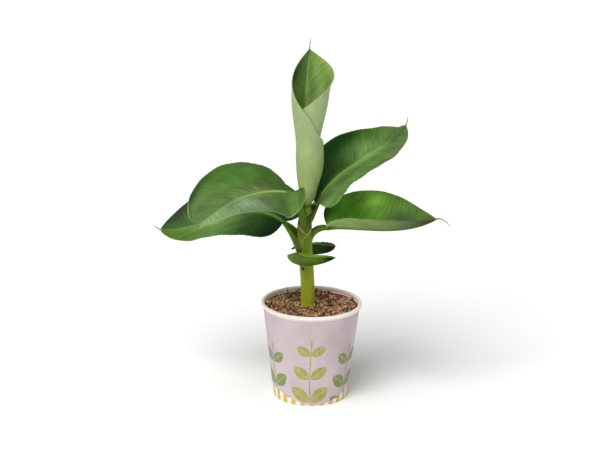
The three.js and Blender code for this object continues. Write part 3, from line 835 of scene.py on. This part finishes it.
def as_is(name, default, description, **more):
    """A number as a setting, whole or not."""
    kind = bpy.props.IntProperty if isinstance(default, int) else bpy.props.FloatProperty
    return kind(name=name, description=description, default=default, **more)


def in_hex(name, default, description):
    """A colour as a setting, given as sRGB hex."""
    return bpy.props.StringProperty(name=name, description="sRGB hex of " + description, default=default)


class PotSettings(bpy.types.PropertyGroup):
    """Sizes and colours of the cover pot and of the nursery pot in it"""

    height: in_mm("Height", 126, "Height of the cover pot")
    foot_radius: in_mm("Foot radius", 47.5, "Outer radius at the floor")
    rim_radius: in_mm("Rim radius", 65, "Outer radius of the rolled rim")
    middle_radius: in_mm("Middle radius", 54, "Radius at which the print is laid out")
    wall: in_mm("Wall", 1.4, "Thickness of the wall")
    bead: in_mm("Bead", 2.4, "Radius of the rolled rim's section")
    inner_top: in_mm("Nursery pot's top", 120, "Height of its edge")
    sprigs: as_is("Sprigs", 6, "Printed sprigs round the pot", min=2)
    stripes: as_is("Stripes", 24, "Pairs of stripes round the foot", min=4)
    band_height: in_mm("Stripe height", 9.5, "Mean height of the striped band")
    band_wave: in_mm("Stripe wave", 8, "How far the band's edge rises and falls")
    board_colour: in_hex("Board", "#b7a6a9", "the printed ground")
    wash_colour: in_hex("Wash", "#cabbc0", "the ground's paler wash")
    olive_ink: in_hex("Olive ink", "#a99d46", "the warmer leaves")
    green_ink: in_hex("Green ink", "#6f8236", "the cooler leaves")
    pale_stripe: in_hex("Pale stripe", "#efe0dc", "the pale stripes")
    yellow_stripe: in_hex("Yellow stripe", "#c9ad34", "the yellow stripes")
    plastic_colour: in_hex("Plastic", "#a9482f", "the nursery pot")
    plastic_shade: in_hex("Plastic shade", "#8f3a26", "its darker mottling")


class SoilSettings(bpy.types.PropertyGroup):
    """Make-up of the potting soil"""

    level: in_mm("Level", 119, "Mean height of the surface")
    roughness: in_mm("Roughness", 1.6, "How far the surface rises and falls")
    crumb_density: as_is("Crumbs", 95000.0, "Crumbs to a square metre, of which each kind is a share")
    fibre_count: as_is("Fibres", 150, "Loose coir fibres", min=1)
    seed: as_is("Seed", 7, "Seed of the scatter")


class LeafSettings(bpy.types.PropertyGroup):
    """Thickness, fineness and colours of the leaves"""

    thickness: in_mm("Thickness", 0.5, "Thickness of a blade")
    rings: as_is("Rings", 170, "Rows of faces along a full-size blade", min=20)
    across: as_is("Across", 26, "Faces across half a blade", min=4)
    brown: in_hex("Brown", "#463c22", "the brown streaks")
    margin: in_hex("Margin", "#9db36a", "the dry margin")


class StemSettings(bpy.types.PropertyGroup):
    """Relief and colours of the sheathed stem"""

    step: in_mm("Sheath thickness", 0.7, "Height of a sheath's margin")
    mouth: in_mm("Mouth", 4, "Depth of the V that the top sheath parts in")
    foot_colour: in_hex("Foot", "#abb02e", "the stem at the soil")
    low_colour: in_hex("Lower stem", "#8a9c1e", "the outer sheaths")
    sheath_colour: in_hex("Sheaths", "#799418", "the lower leaves' sheaths")
    bundle_colour: in_hex("Bundle", "#38490a", "the upper leaves' sheaths")
    tinge_colour: in_hex("Tinge", "#7a5522", "the brown tinges")
    joint_and_shade_colour: in_hex("Joint and shade", "#2e1c0c", "the dark joint under the small front leaf, with painted shade")
    margin_colour: in_hex("Margins", "#c4b66c", "the papery margins")


class StageSettings(bpy.types.PropertyGroup):
    """Camera and light of the studio"""

    distance: in_mm("Distance", 2638, "Camera's distance to the pot's foot")
    pitch: as_is("Pitch", math.radians(16.66), "How far the camera looks down", subtype="ANGLE")
    roll: as_is("Roll", math.radians(0.9), "Turn of the picture", subtype="ANGLE")
    focal: as_is("Focal length", 2020.0, "In pixels of a picture 600 wide")
    sun: as_is("Key", 3.0, "Strength of the key light")
    fill: as_is("Fill", 0.25, "Strength of the fill light")
    sky: as_is("Sky", 0.36, "Strength of the even light")


# Pieces


def wall_radius(settings, height):
    """Outer radius of the cover pot's sloping wall at a height, in millimetres."""
    top = settings.rim_radius - settings.bead
    return mix(settings.foot_radius, top, height * MM / (settings.height - settings.bead)) / MM


def turned(name, profile, materials, seam=0.0, printed=(), middle=0.0):
    """A closed profile of (radius, height) turned about the pot's axis, seam the bump of a lap at the back.

    The rows of faces that are printed take the second material, laid out at the middle radius."""
    turn = np.linspace(0, 2 * np.pi, 257)
    radius, height = np.asarray(profile, float).T[..., None]
    lap = seam * (smooth(*LAP[:2], np.degrees(turn)) - smooth(*LAP[2:], np.degrees(turn)))
    points = circle(radius + lap * (radius > 1), turn, height)
    rings, count = points.shape[:2]
    i, j = np.meshgrid(np.arange(rings - 1), np.arange(count - 1), indexing="ij")
    a = i * count + j
    faces = np.stack([a, a + 1, a + 1 + count, a + count], -1).reshape(-1, 4).tolist()
    uvs = {"print": np.stack(np.broadcast_arrays(turn * middle / MM, height), -1)} if middle else ()
    made = mesh_object(name, points, faces, materials, np.isin(i, printed).ravel(), uvs)
    return merged(made)


def merged(piece):
    """Joins a piece's doubled points, so that its seam and poles are closed, and faces it outwards."""
    edit = bmesh.new()
    edit.from_mesh(piece.data)
    bmesh.ops.remove_doubles(edit, verts=edit.verts, dist=0.02 * MM)
    bmesh.ops.recalc_face_normals(edit, faces=edit.faces)
    edit.to_mesh(piece.data)
    edit.free()
    return piece


class PlantOperator:
    """What every operator of the plant has in common."""

    bl_options = {"REGISTER", "UNDO"}


class BANANA_OT_stage(PlantOperator, bpy.types.Operator):
    """Set up the floor, the lights and the camera"""

    bl_idname = "banana.stage"
    bl_label = "Studio"
    # Half the floor's side and its height, in metres
    floor_half, floor_height = 30.0, -0.3 * MM
    # The photograph's size and where it shows the pot's foot, in pixels
    picture, foot = (600, 450), (309.9, 392.4)

    def execute(self, context):
        settings = context.scene.banana_stage
        mesh = bpy.data.meshes.new("floor")
        half = self.floor_half
        corners = ((-half, -half), (half, -half), (half, half), (-half, half))
        mesh.from_pydata([(x, y, self.floor_height) for x, y in corners], [], [(0, 1, 2, 3)])
        # Seamless white studio paper: matte
        stops = ((0.3, "#f8f8f7"), (0.7, "#fbfbfa"))
        mesh.materials.append(mottled("Studio paper", 1000 / 3, stops, {"Roughness": 0.9}))
        put("floor", mesh)
        self.light(context, settings)
        self.camera(context, settings)
        context.scene.view_settings.view_transform = "Standard"
        return {"FINISHED"}

    def light(self, context, settings):
        """A broad key from the upper left in front, a weaker fill from the right and an even sky."""
        # Each lamp's name, strength, breadth in degrees and where it shines to
        lamps = (
            ("key", settings.sun, 45, (0.5, 0.75, -1.05)),
            ("fill", settings.fill, 60, (-0.75, 0.6, -0.6)),
        )
        for name, energy, breadth, aim in lamps:
            sun = bpy.data.lights.new(name, "SUN")
            sun.energy = energy
            sun.angle = math.radians(breadth)
            put(name, sun).rotation_euler = Vector(aim).to_track_quat("-Z", "Y").to_euler()
        world = bpy.data.worlds.new("studio")
        world.use_nodes = True
        background = world.node_tree.nodes["Background"]
        background.inputs["Color"].default_value = (1, 1, 1, 1)
        background.inputs["Strength"].default_value = settings.sky
        context.scene.world = world

    def camera(self, context, settings):
        """Camera of the photograph, turned and placed so that the pot's foot falls on its pixel."""
        foot_right, foot_down = (at - side / 2 for at, side in zip(self.foot, self.picture))
        pitch, roll = settings.pitch, settings.roll
        forward = Vector((0, math.cos(pitch), -math.sin(pitch)))
        level_up = Vector((0, math.sin(pitch), math.cos(pitch)))
        right = Vector((1, 0, 0)) * math.cos(roll) + level_up * math.sin(roll)
        up = level_up * math.cos(roll) - Vector((1, 0, 0)) * math.sin(roll)
        scale = settings.distance / settings.focal
        place = -forward * settings.distance + up * foot_down * scale - right * foot_right * scale
        lens = bpy.data.cameras.new("camera")
        lens.sensor_width = 36
        lens.lens = settings.focal / self.picture[0] * lens.sensor_width
        camera = put("camera", lens)
        axes = Matrix((right, up, -forward)).transposed()
        camera.matrix_world = Matrix.Translation(place) @ axes.to_4x4()
        context.scene.camera = camera


class BANANA_OT_pots(PlantOperator, bpy.types.Operator):
    """Make the printed cover pot with its rolled rim, and the nursery pot inside it"""

    bl_idname = "banana.pots"
    bl_label = "Pots"

    def execute(self, context):
        settings = context.scene.banana_pot
        # Uncoated inner face of the paper board: off-white and matte, with faint fibres
        white = mottled(
            "White paper board", 9, ((0.3, "#ecdfd8"), (0.7, "#f3e9e3")), {"Roughness": 0.6, "IOR": 1.45}, 5,
        )
        hand_in(self.board(settings, white), "cover_pot", "cover_pot")
        hand_in(self.bead(settings, white), "cover_pot", "cover_pot")
        hand_in(self.nursery_pot(settings), "growing_pot", "growing_pot")
        return {"FINISHED"}

    def board(self, settings, white):
        """Floor and wall of the cover pot, lapped and glued at the back."""
        crest = settings.height / MM - settings.bead / MM
        thick, foot = settings.wall / MM, settings.foot_radius / MM
        outer = [(wall_radius(settings, z), z) for z in (0.6, *np.linspace(2, crest, 30))]
        inner = [(wall_radius(settings, z) - thick, z) for z in np.linspace(crest, 2, 12)]
        profile = [(0.01, 0), (foot - 4, 0), (foot - 3.4, 0.3), (foot - 2.8, 0)]
        printed = np.arange(len(outer) - 1) + len(profile)
        profile += [(foot - 0.6, 0)] + outer + inner + [(0.01, 2)]
        return turned(
            "cover_pot_board", profile, [white, printed_board(settings)], 0.35, printed,
            settings.middle_radius,
        )

    def bead(self, settings, white):
        """The board's edge rolled outwards, as a ring swept round the rim."""
        add, given = node_group("Rolled rim", {"Start": "Geometry", "Rim": "Float", "Bead": "Float"})
        path, profile = (
            add("GeometryNodeCurvePrimitiveCircle", {"Resolution": sides, "Radius": given[label]})
            for label, sides in (("Rim", 256), ("Bead", 24))
        )
        ring = add("GeometryNodeCurveToMesh", {"Curve": path, "Profile Curve": profile})
        lift = add("CombineXYZ", {2: settings.height - settings.bead})
        raised = add("GeometryNodeTransform", {"Geometry": ring, "Translation": lift})
        seat = put("rim", bpy.data.meshes.new("rim"))
        values = {"Rim": settings.rim_radius - settings.bead, "Bead": settings.bead}
        return run_tree("cover_pot_rim", seat, add, raised, white, values)

    def nursery_pot(self, settings):
        """Thin plastic pot that the plant grows in, with a rounded edge."""
        top = settings.inner_top / MM
        # Each place has a height and its distance inside the cover pot's wall, as it is at the second height
        places = (
            (2.3, 0.5), (top - 0.5, 0.3), (top - 0.1, 0.5), (top, 0.9), (top - 0.4, 1.3), (3.6, 1.4),
        )
        heights = (2.3, top - 0.5, top, top, top, 3.6)
        profile = [(0.01, 2.3)]
        for (z, depth), at in zip(places, heights):
            profile.append((wall_radius(settings, at) - settings.wall / MM - depth, z))
        profile.append((0.01, 3.6))
        # Thin moulded polypropylene in terracotta: dull, with a faint orange-peel surface
        plastic = mottled(
            "Terracotta polypropylene", 3,
            ((0.35, settings.plastic_shade), (0.65, settings.plastic_colour)),
            {"Roughness": 0.55, "IOR": 1.49}, relief=(0.2, 0.2),
        )
        return turned("nursery_pot", profile, [plastic])


class BANANA_OT_soil(PlantOperator, bpy.types.Operator):
    """Fill the nursery pot with peat, bark crumbs and coir fibres"""

    bl_idname = "banana.soil"
    bl_label = "Potting soil"
    # Each kind of crumb: piece, material, dark and pale colour, mottling in millimetres, least and greatest
    # size, and share of the crumbs
    kinds = (
        ("soil_crumbs_dark", "Dark peat", "#4a2f1e", "#8f6440", 3, 2.0, 5.4, 0.22),
        ("soil_crumbs_brown", "Bark crumbs", "#8b5f43", "#c29267", 2.5, 2.0, 6.4, 0.3),
        ("soil_crumbs_tan", "Coir chips", "#b08763", "#e6c09a", 2.5, 1.8, 5.4, 0.24),
        ("soil_crumbs_green", "Algae-green crumbs", "#7b7a2e", "#b3ad4c", 2, 1.4, 2.6, 0.015),
    )
    # Hollows under the wall at the back right and the heap round the stem: place, spreads and height
    mounds = ((14, 30, 8, 9, -6), (38, 44, 12, 9, -6.5), (-5.5, 1, 15, 15, 2))
    twig = [(-31, 51, 119), (-31.6, 51.4, 124), (-33, 51.5, 128.5)]
    # How far the surface stays clear of the cover pot, and the radius and height of the soil's foot
    clear, foot = 3.0, (47.5, 4.2)

    def execute(self, context):
        settings = context.scene.banana_soil
        rng = np.random.default_rng(settings.seed)
        # Each wave's radians to a millimetre, direction and phase
        waves = [(rng.uniform(0.05, 0.5), rng.uniform(0, 2 * np.pi), rng.uniform(0, 2 * np.pi))
                 for _ in range(18)]

        def surface(x, y):
            """Height of the soil in millimetres: heaped over the pot's edge but low at the back right."""
            rough = 0 * x
            for pace, aim, phase in waves:
                step = pace * (x * np.cos(aim) + y * np.sin(aim)) + phase
                rough = rough + np.sin(step) * 0.16 / math.sqrt(pace)
            height = settings.level / MM + 0.8 + settings.roughness / MM * rough / 1.3
            for at_x, at_y, x_spread, y_spread, change in self.mounds:
                height = height + change * bell(x, at_x, x_spread) * bell(y, at_y, y_spread)
            return height

        radius = wall_radius(context.scene.banana_pot, settings.level / MM) - self.clear
        bed = self.bed(surface, radius)
        hand_in(bed, "soil", "potting_soil")
        for order, (name, material, dark, pale, mottling, *sizes) in enumerate(self.kinds):
            material = grain_material(material, dark, pale, mottling)
            hand_in(self.scatter(name, bed, material, settings, order, *sizes), "soil", "potting_soil")
        hand_in(self.fibres(surface, radius, rng, settings), "soil", "potting_soil")
        bark = grain_material("Twig bark", "#3a2f2a", "#6d6058", 3)
        hand_in(sweep("soil_twig", [self.twig], [[1, 0.8, 0.4]], bark, 7, 0.6), "soil")
        return {"FINISHED"}

    def bed(self, surface, radius):
        """The body of the soil: its rough top, and a plain side and underside inside the pot."""
        rings, sides = 90, 240
        turn = np.arange(sides) / sides * 2 * np.pi
        x, y, _ = np.moveaxis(circle(radius * (np.arange(1, rings + 1) / rings)[:, None], turn, 0), -1, 0)
        top = np.stack([x, y, surface(x, y)], -1)
        rows = np.concatenate([circle(self.foot[0], turn, self.foot[1])[None], top[::-1]])
        vertices = np.vstack([rows.reshape(-1, 3), [0, 0, surface(np.zeros(1), np.zeros(1))[0]]])
        faces = ring_faces(rings + 1, sides).tolist() + fan(rings * sides, sides, len(vertices) - 1)
        faces.append(list(range(sides))[::-1])
        return mesh_object("soil_bed", vertices, faces, [grain_material("Peat", "#2e1c12", "#6b4a33", 3)])

    def scatter(self, name, bed, material, settings, order, small, large, share):
        """Crumbs of one kind, strewn over the bed's top by a seeded tree."""
        grain = self.crumb(order + settings.seed)
        add, given = node_group("Strew crumbs", {
            "Bed": "Geometry", "Crumb": "Object", "Density": "Float", "Smallest": "Float",
            "Largest": "Float", "Seed": "Int",
        })
        height = add("SeparateXYZ", (add("GeometryNodeInputPosition"),)).outputs["Z"]
        on_top = add("FunctionNodeCompare", (height, 100 * MM), operation="GREATER_THAN")
        top = add(
            "GeometryNodeSeparateGeometry", {"Geometry": given["Bed"], "Selection": on_top}, domain="FACE")
        points = add("GeometryNodeDistributePointsOnFaces", {
            "Mesh": top, "Density": given["Density"], "Seed": given["Seed"],
        })
        crumb = add("GeometryNodeObjectInfo", {"Object": given["Crumb"]}).outputs["Geometry"]
        turn = add("FunctionNodeRandomValue", {
            0: (0, 0, 0), 1: (6.28, 6.28, 6.28), "Seed": given["Seed"],
        }, data_type="FLOAT_VECTOR")
        size = add("FunctionNodeRandomValue", {
            2: given["Smallest"], 3: given["Largest"], "Seed": given["Seed"],
        }, data_type="FLOAT").outputs[1]
        strewn = add("GeometryNodeInstanceOnPoints", {
            "Points": points, "Instance": crumb, "Rotation": turn, "Scale": size,
        })
        made = run_tree(name, put(name, bed.data.copy()), add, strewn, material, {
            "Crumb": grain, "Density": settings.crumb_density * share, "Smallest": small,
            "Largest": large, "Seed": settings.seed + order,
        })
        bpy.data.objects.remove(grain)
        return made

    def crumb(self, seed):
        """One angular crumb of 20 faces, 1 mm across."""
        rng = np.random.default_rng(seed)
        edit = bmesh.new()
        bmesh.ops.create_icosphere(edit, subdivisions=1, radius=0.5 * MM)
        for vertex in edit.verts:
            vertex.co *= rng.uniform(0.65, 1.25)
        bmesh.ops.scale(edit, vec=(1.5, 0.9, 0.65), verts=edit.verts)
        mesh = bpy.data.meshes.new("crumb")
        edit.to_mesh(mesh)
        edit.free()
        return put("crumb", mesh)

    def fibres(self, surface, radius, rng, settings):
        """Loose coir fibres lying in curves on the soil, each up to seven points long."""
        paths = []
        for _ in range(settings.fibre_count):
            reach, turn = (radius - 6) * math.sqrt(rng.uniform(0.03, 1)), rng.uniform(0, 2 * np.pi)
            x, y = reach * math.cos(turn), reach * math.sin(turn)
            aim, bend, stride = rng.uniform(0, 2 * np.pi), rng.uniform(-0.6, 0.6), rng.uniform(0.8, 2)
            points = []
            for step in range(7):
                if math.hypot(x, y) < radius - 1:
                    points.append((x, y, float(surface(x, y)) + 1.0 + 0.8 * math.sin(step)))
                x, y = x + stride * math.cos(aim), y + stride * math.sin(aim)
                aim += bend
            if len(points) > 2:
                paths.append(points)
        material = grain_material("Coir fibre", "#8d6a48", "#d9bd96", 4)
        return sweep("soil_fibres", paths, [[1.0] * len(points) for points in paths], material, 4, 0.3)


class BANANA_OT_stem(PlantOperator, bpy.types.Operator):
    """Make the stem of overlapping leaf sheaths"""

    bl_idname = "banana.stem"
    bl_label = "Stem"

    def execute(self, context):
        hand_in(self.sheaths(context.scene.banana_stem), "stem", "pseudostem")
        return {"FINISHED"}

    def sheaths(self, settings):
        """The stem as one skin, stepped where the sheath of each lower leaf ends."""
        rows, sides = 260, 200
        low, high = STEM["heights"][0] - 2, STEM["heights"][-1]
        degrees = (np.arange(sides) / sides * 360)[None]
        turn = np.radians(degrees)

        def away(middle):
            """Degrees round the stem from a middle."""
            return np.abs((degrees - middle + 180) % 360 - 180)

        def sheath(middle, half, edge, rise):
            """Height of a sheath's top round the stem: lowest at its margins, highest at its leaf."""
            return edge + rise * np.clip(1 - away(middle) / half, 0, 1) ** 0.8

        mouth = high - settings.mouth / MM * np.clip(1 - away(MOUTH[0]) / MOUTH[1], 0, 1) ** 1.3
        z = mix(low, mouth, np.linspace(0, 1, rows)[:, None])
        line = np.polyfit(STEM["heights"], STEM["centres"], 3)
        share = np.clip((z - STEM["heights"][0]) / (high - STEM["heights"][0]), 0, 1)
        base = np.interp(share, np.linspace(0, 1, len(STEM["radii"])), STEM["radii"])
        left_top, right_top = sheath(*LEFT_SHEATH), sheath(*RIGHT_SHEATH)
        outer_top = LOW_SHEATH[0] + LOW_SHEATH[1] * np.cos(np.radians(degrees - LOW_SHEATH[2]))
        from_left, from_right = away(LEFT_SHEATH[0]), away(RIGHT_SHEATH[0])
        left = (1 - smooth(-0.5, 0.5, z - left_top)) * (from_left < LEFT_SHEATH[1])
        over = smooth(-1.5, 1.5, SIDE_EDGE - from_right) * (1 - smooth(-0.5, 0.5, z - right_top))
        outer = 1 - smooth(-0.6, 0.6, z - outer_top)
        step = settings.step / MM
        radius = base - 0.5 * step + 0.55 * step * left + 0.6 * step * over + 0.5 * step * outer
        radius = radius + 0.12 * np.sin(turn * 9 + z / 30) * smooth(0, 10, z - low)
        points = circle(radius, turn, z) + np.stack(
            [np.polyval(line, z), STEM["depth"] + 0 * z, 0 * z], -1,
        )
        # Papery margins, 0.9 mm wide, stop a little short of where the sheaths cross
        margin = 0.75 * np.maximum(
            bell(z, left_top, 0.9) * (from_left < LEFT_SHEATH[1] - 2) * (from_right > 66),
            bell(z, right_top, 0.9) * (from_right < RIGHT_SHEATH[1] + 1),
        )
        side_edge = 0.5 * bell(from_right, SIDE_EDGE, 3) * (z < SIDE_EDGE_TOP) * (z > SIDE_EDGE_FOOT)
        for other in (side_edge, 0.4 * bell(z, outer_top, 0.9), 0.5 * bell(z, mouth - 0.4, 0.9)):
            margin = np.maximum(margin, other)
        # Brown tinges, and the dark joint under the small front leaf that is partly painted shade
        tinge_and_shade = 0 * z
        for at_degrees, at_z, degrees_spread, z_spread, strength in TINGES_AND_SHADE:
            tinge_and_shade = tinge_and_shade + strength * bell(degrees, at_degrees, degrees_spread) * bell(z, at_z, z_spread)
        # The mouth is a well that the rolled leaf's stalk stands in
        centre = points.mean(1, keepdims=True)[-1:]
        lip = centre + (points[-1:] - centre) * (0.87, 0.87, 1)
        well = lip * (1, 1, 0) + (0, 0, high - settings.mouth / MM - 6)
        points = np.concatenate([points, lip, well])
        last = (rows + 1) * sides
        vertices = np.vstack([points.reshape(-1, 3), points[0].mean(0), points[-1].mean(0)])
        faces = ring_faces(rows + 2, sides).tolist()
        faces += [[b, a, hub] for a, b, hub in fan(0, sides, last + sides)]
        faces += fan(last, sides, last + sides + 1)
        # The lip and the well take the last row's values, and the two hubs none
        attributes = {
            label: np.append(np.concatenate([values, values[-1:], values[-1:]]).ravel(), [0.0, 0.0])
            for label, values in (("height", share), ("margin", margin), ("tinge_and_shade", np.clip(tinge_and_shade, 0, 1)))
        }
        return mesh_object("stem_sheaths", vertices, faces, [sheath_skin(settings)], attributes=attributes)


class BANANA_OT_spread_leaves(PlantOperator, bpy.types.Operator):
    """Make the spread leaves: blade, midrib and stalk, and the dry thread at the tip"""

    bl_idname = "banana.spread_leaves"
    bl_label = "Spread leaves"

    def execute(self, context):
        settings = context.scene.banana_leaf
        materials = [lamina_above("Leaf lamina", settings), lamina_below("Leaf underside", 0.12)]
        # The stalks' darker foot is partly painted shade at the stem
        skin = stalk_skin("Stalk skin", "#547212", "#4f520d")
        bright = stalk_skin("Midrib skin", "#a2cf69", "#a2cf69", 0.5, "#678a41")
        # The lower left leaf lies under the upper left one, so its midrib takes a darker copy of the midrib
        # skin: painted shade
        shaded_rib = stalk_skin("Shaded midrib skin", "#57802c", "#57802c", 0.5, "#678a41")
        paths, widths = [], []
        for seed, (name, leaf) in enumerate(SPREAD_LEAVES.items()):
            hand_in(self.blade(name + "_blade", leaf, settings, materials, seed), "leaf", name)
            skins = [skin, shaded_rib if leaf.get("shaded") else bright]
            hand_in(stalk_and_midrib(name + "_midrib", leaf, skins), "leaf", name)
            tip, along = (values[-1] for values in midrib(leaf)[1:3])
            paths.append(thread_points(tip, along, leaf["thread"]))
            widths.append(np.linspace(1, RIB["thread"] / RIB["tip"], len(paths[-1])) * leaf_scale(leaf))
        # Dead leaf tip: dry, brown and rough
        dry = mottled("Dry leaf tip", 4, ((0.35, "#4d3a1c"), (0.65, "#a58d55")), {"Roughness": 0.8})
        hand_in(sweep("leaf_tip_threads", paths, widths, dry, 8, 0.7 * RIB["tip"]), "leaf")
        return {"FINISHED"}

    def blade(self, name, leaf, settings, materials, seed):
        """One blade as a thin slab, thinner still at its margin; a small leaf has half the faces."""
        coarse = 2 if leaf["length"] < 100 else 1
        sheet, normals, where, veins = spread_sheet(
            leaf, settings.rings // coarse, settings.across // coarse, seed,
        )
        thickness = settings.thickness / MM * mix(1.0, 0.45, np.abs(where[..., 0]) ** 4)
        return blade_object(name, leaf, sheet, normals, thickness, where, veins, materials)


class BANANA_OT_rolled_leaf(PlantOperator, bpy.types.Operator):
    """Make the rolled top leaf, its midrib and the stalk inside its foot"""

    bl_idname = "banana.rolled_leaf"
    bl_label = "Rolled leaf"
    # Where the blade ends, as a share of the axis
    end = 0.999

    def execute(self, context):
        settings = context.scene.banana_leaf
        for piece in (self.blade(settings), self.rib(), self.core(), self.thread()):
            hand_in(piece, "young_leaf", "leaf_unfurling")
        return {"FINISHED"}

    def blade(self, settings):
        """The rolled blade as a thin slab whose upper face is turned inwards."""
        rings, across = 200, 70
        t = (self.end * (1 - np.cos(np.pi * np.linspace(0, 1, rings))) / 2)[:, None]
        reach = np.linspace(1, -1, 2 * across + 1)[None]
        sheet, outward, distance = roll_place(t + 0 * reach, reach + 0 * t)
        height = ROLLED_LEAF["axis_tip"][2] - ROLLED_LEAF["axis_foot"][2]
        veins = np.stack([distance, t * height - 1.1 * np.abs(distance)], -1)
        where = np.stack(np.broadcast_arrays(-reach, t), -1)
        thickness = settings.thickness / MM * 1.2 * mix(1.0, 1.7, np.abs(where[..., 0]) ** 12)
        materials = [bpy.data.materials["Leaf lamina"], lamina_below("Young leaf underside", 0.05)]
        return blade_object(
            "leaf_unfurling_blade", ROLLED_LEAF, sheet, -outward, thickness, where, veins, materials,
        )

    def rib(self):
        """Midrib of the rolled leaf, a ridge up its back and a pale line inside."""
        t = np.linspace(0, self.end, 60)
        points, outward, _ = roll_place(t, 0 * t)
        radius = mix(RIB["base"], RIB["tip"], np.linspace(0, 1, len(t)) ** 0.6) * 0.85
        side = np.stack([-outward[:, 1], outward[:, 0], 0 * t], -1)
        shape = section(0 * t) * radius[:, None, None]
        rows = points[:, None] + side[:, None] * shape[..., :1] - outward[:, None] * shape[..., 1:]
        skins = [stalk_skin("Young rib skin", "#a9bd7f", "#a9bd7f"), bpy.data.materials["Midrib skin"]]
        channel = np.arange(rows.shape[1]) >= UNDER - 1
        return merged(tube("leaf_unfurling_midrib", rows, t, skins, channel))

    def core(self):
        """The stalk that the roll closes round, up from the stem's top."""
        share = np.linspace(0, 1, 30)
        axis = roll_axis(mix(-0.05, ROLLED_LEAF["core_top"], share))
        profile = np.interp(share, [0, 0.2, 0.4, 0.7, 1], [0.8, 0.8, 0.66, 0.45, 0.25])
        around = np.arange(40) / 40
        ring = circle(1, around * 2 * np.pi, 0)
        rows = axis[:, None] + ring * (ROLLED_LEAF["core_radius"] * profile)[:, None, None]
        skin = stalk_skin("Young stalk skin", "#6c8a30", "#566420")
        return tube("leaf_unfurling_stalk", rows, share, [skin], around=around)

    def thread(self):
        """Dry thread at the rolled leaf's tip."""
        tip = roll_place(np.array([self.end]), np.array([0.0]))[0][0]
        points = thread_points(tip, np.array([0, 0, 1.0]), ROLLED_LEAF["thread"])
        dry = bpy.data.materials["Dry leaf tip"]
        return sweep("leaf_unfurling_thread", [points], [np.linspace(1, 0.4, len(points))], dry, 8, 0.8)


class BANANA_PT_pieces(bpy.types.Panel):
    """Lists the plant's pieces in the sidebar"""

    bl_label = "Banana plant"
    bl_space_type = "VIEW_3D"
    bl_region_type = "UI"
    bl_category = "Banana plant"

    def draw(self, context):
        for group in SETTINGS:
            box = self.layout.box()
            settings = getattr(context.scene, group)
            for key in settings.bl_rna.properties.keys():
                if key not in ("rna_type", "name"):
                    box.prop(settings, key)
        for operator in OPERATORS:
            self.layout.operator(operator.bl_idname)


SETTINGS = {
    "banana_stage": StageSettings, "banana_pot": PotSettings, "banana_soil": SoilSettings,
    "banana_stem": StemSettings, "banana_leaf": LeafSettings,
}
OPERATORS = (
    BANANA_OT_stage, BANANA_OT_pots, BANANA_OT_soil, BANANA_OT_stem, BANANA_OT_spread_leaves,
    BANANA_OT_rolled_leaf,
)


def register():
    for group, kind in SETTINGS.items():
        bpy.utils.register_class(kind)
        setattr(bpy.types.Scene, group, bpy.props.PointerProperty(type=kind))
    for kind in (*OPERATORS, BANANA_PT_pieces):
        bpy.utils.register_class(kind)


def unregister():
    for kind in (BANANA_PT_pieces, *reversed(OPERATORS)):
        bpy.utils.unregister_class(kind)
    for group, kind in SETTINGS.items():
        delattr(bpy.types.Scene, group)
        bpy.utils.unregister_class(kind)


def main():
    register()
    for operator in OPERATORS:
        area, _, action = operator.bl_idname.partition(".")
        getattr(getattr(bpy.ops, area), action)()
    bpy.context.view_layer.update()


if __name__ == "__main__":
    main()
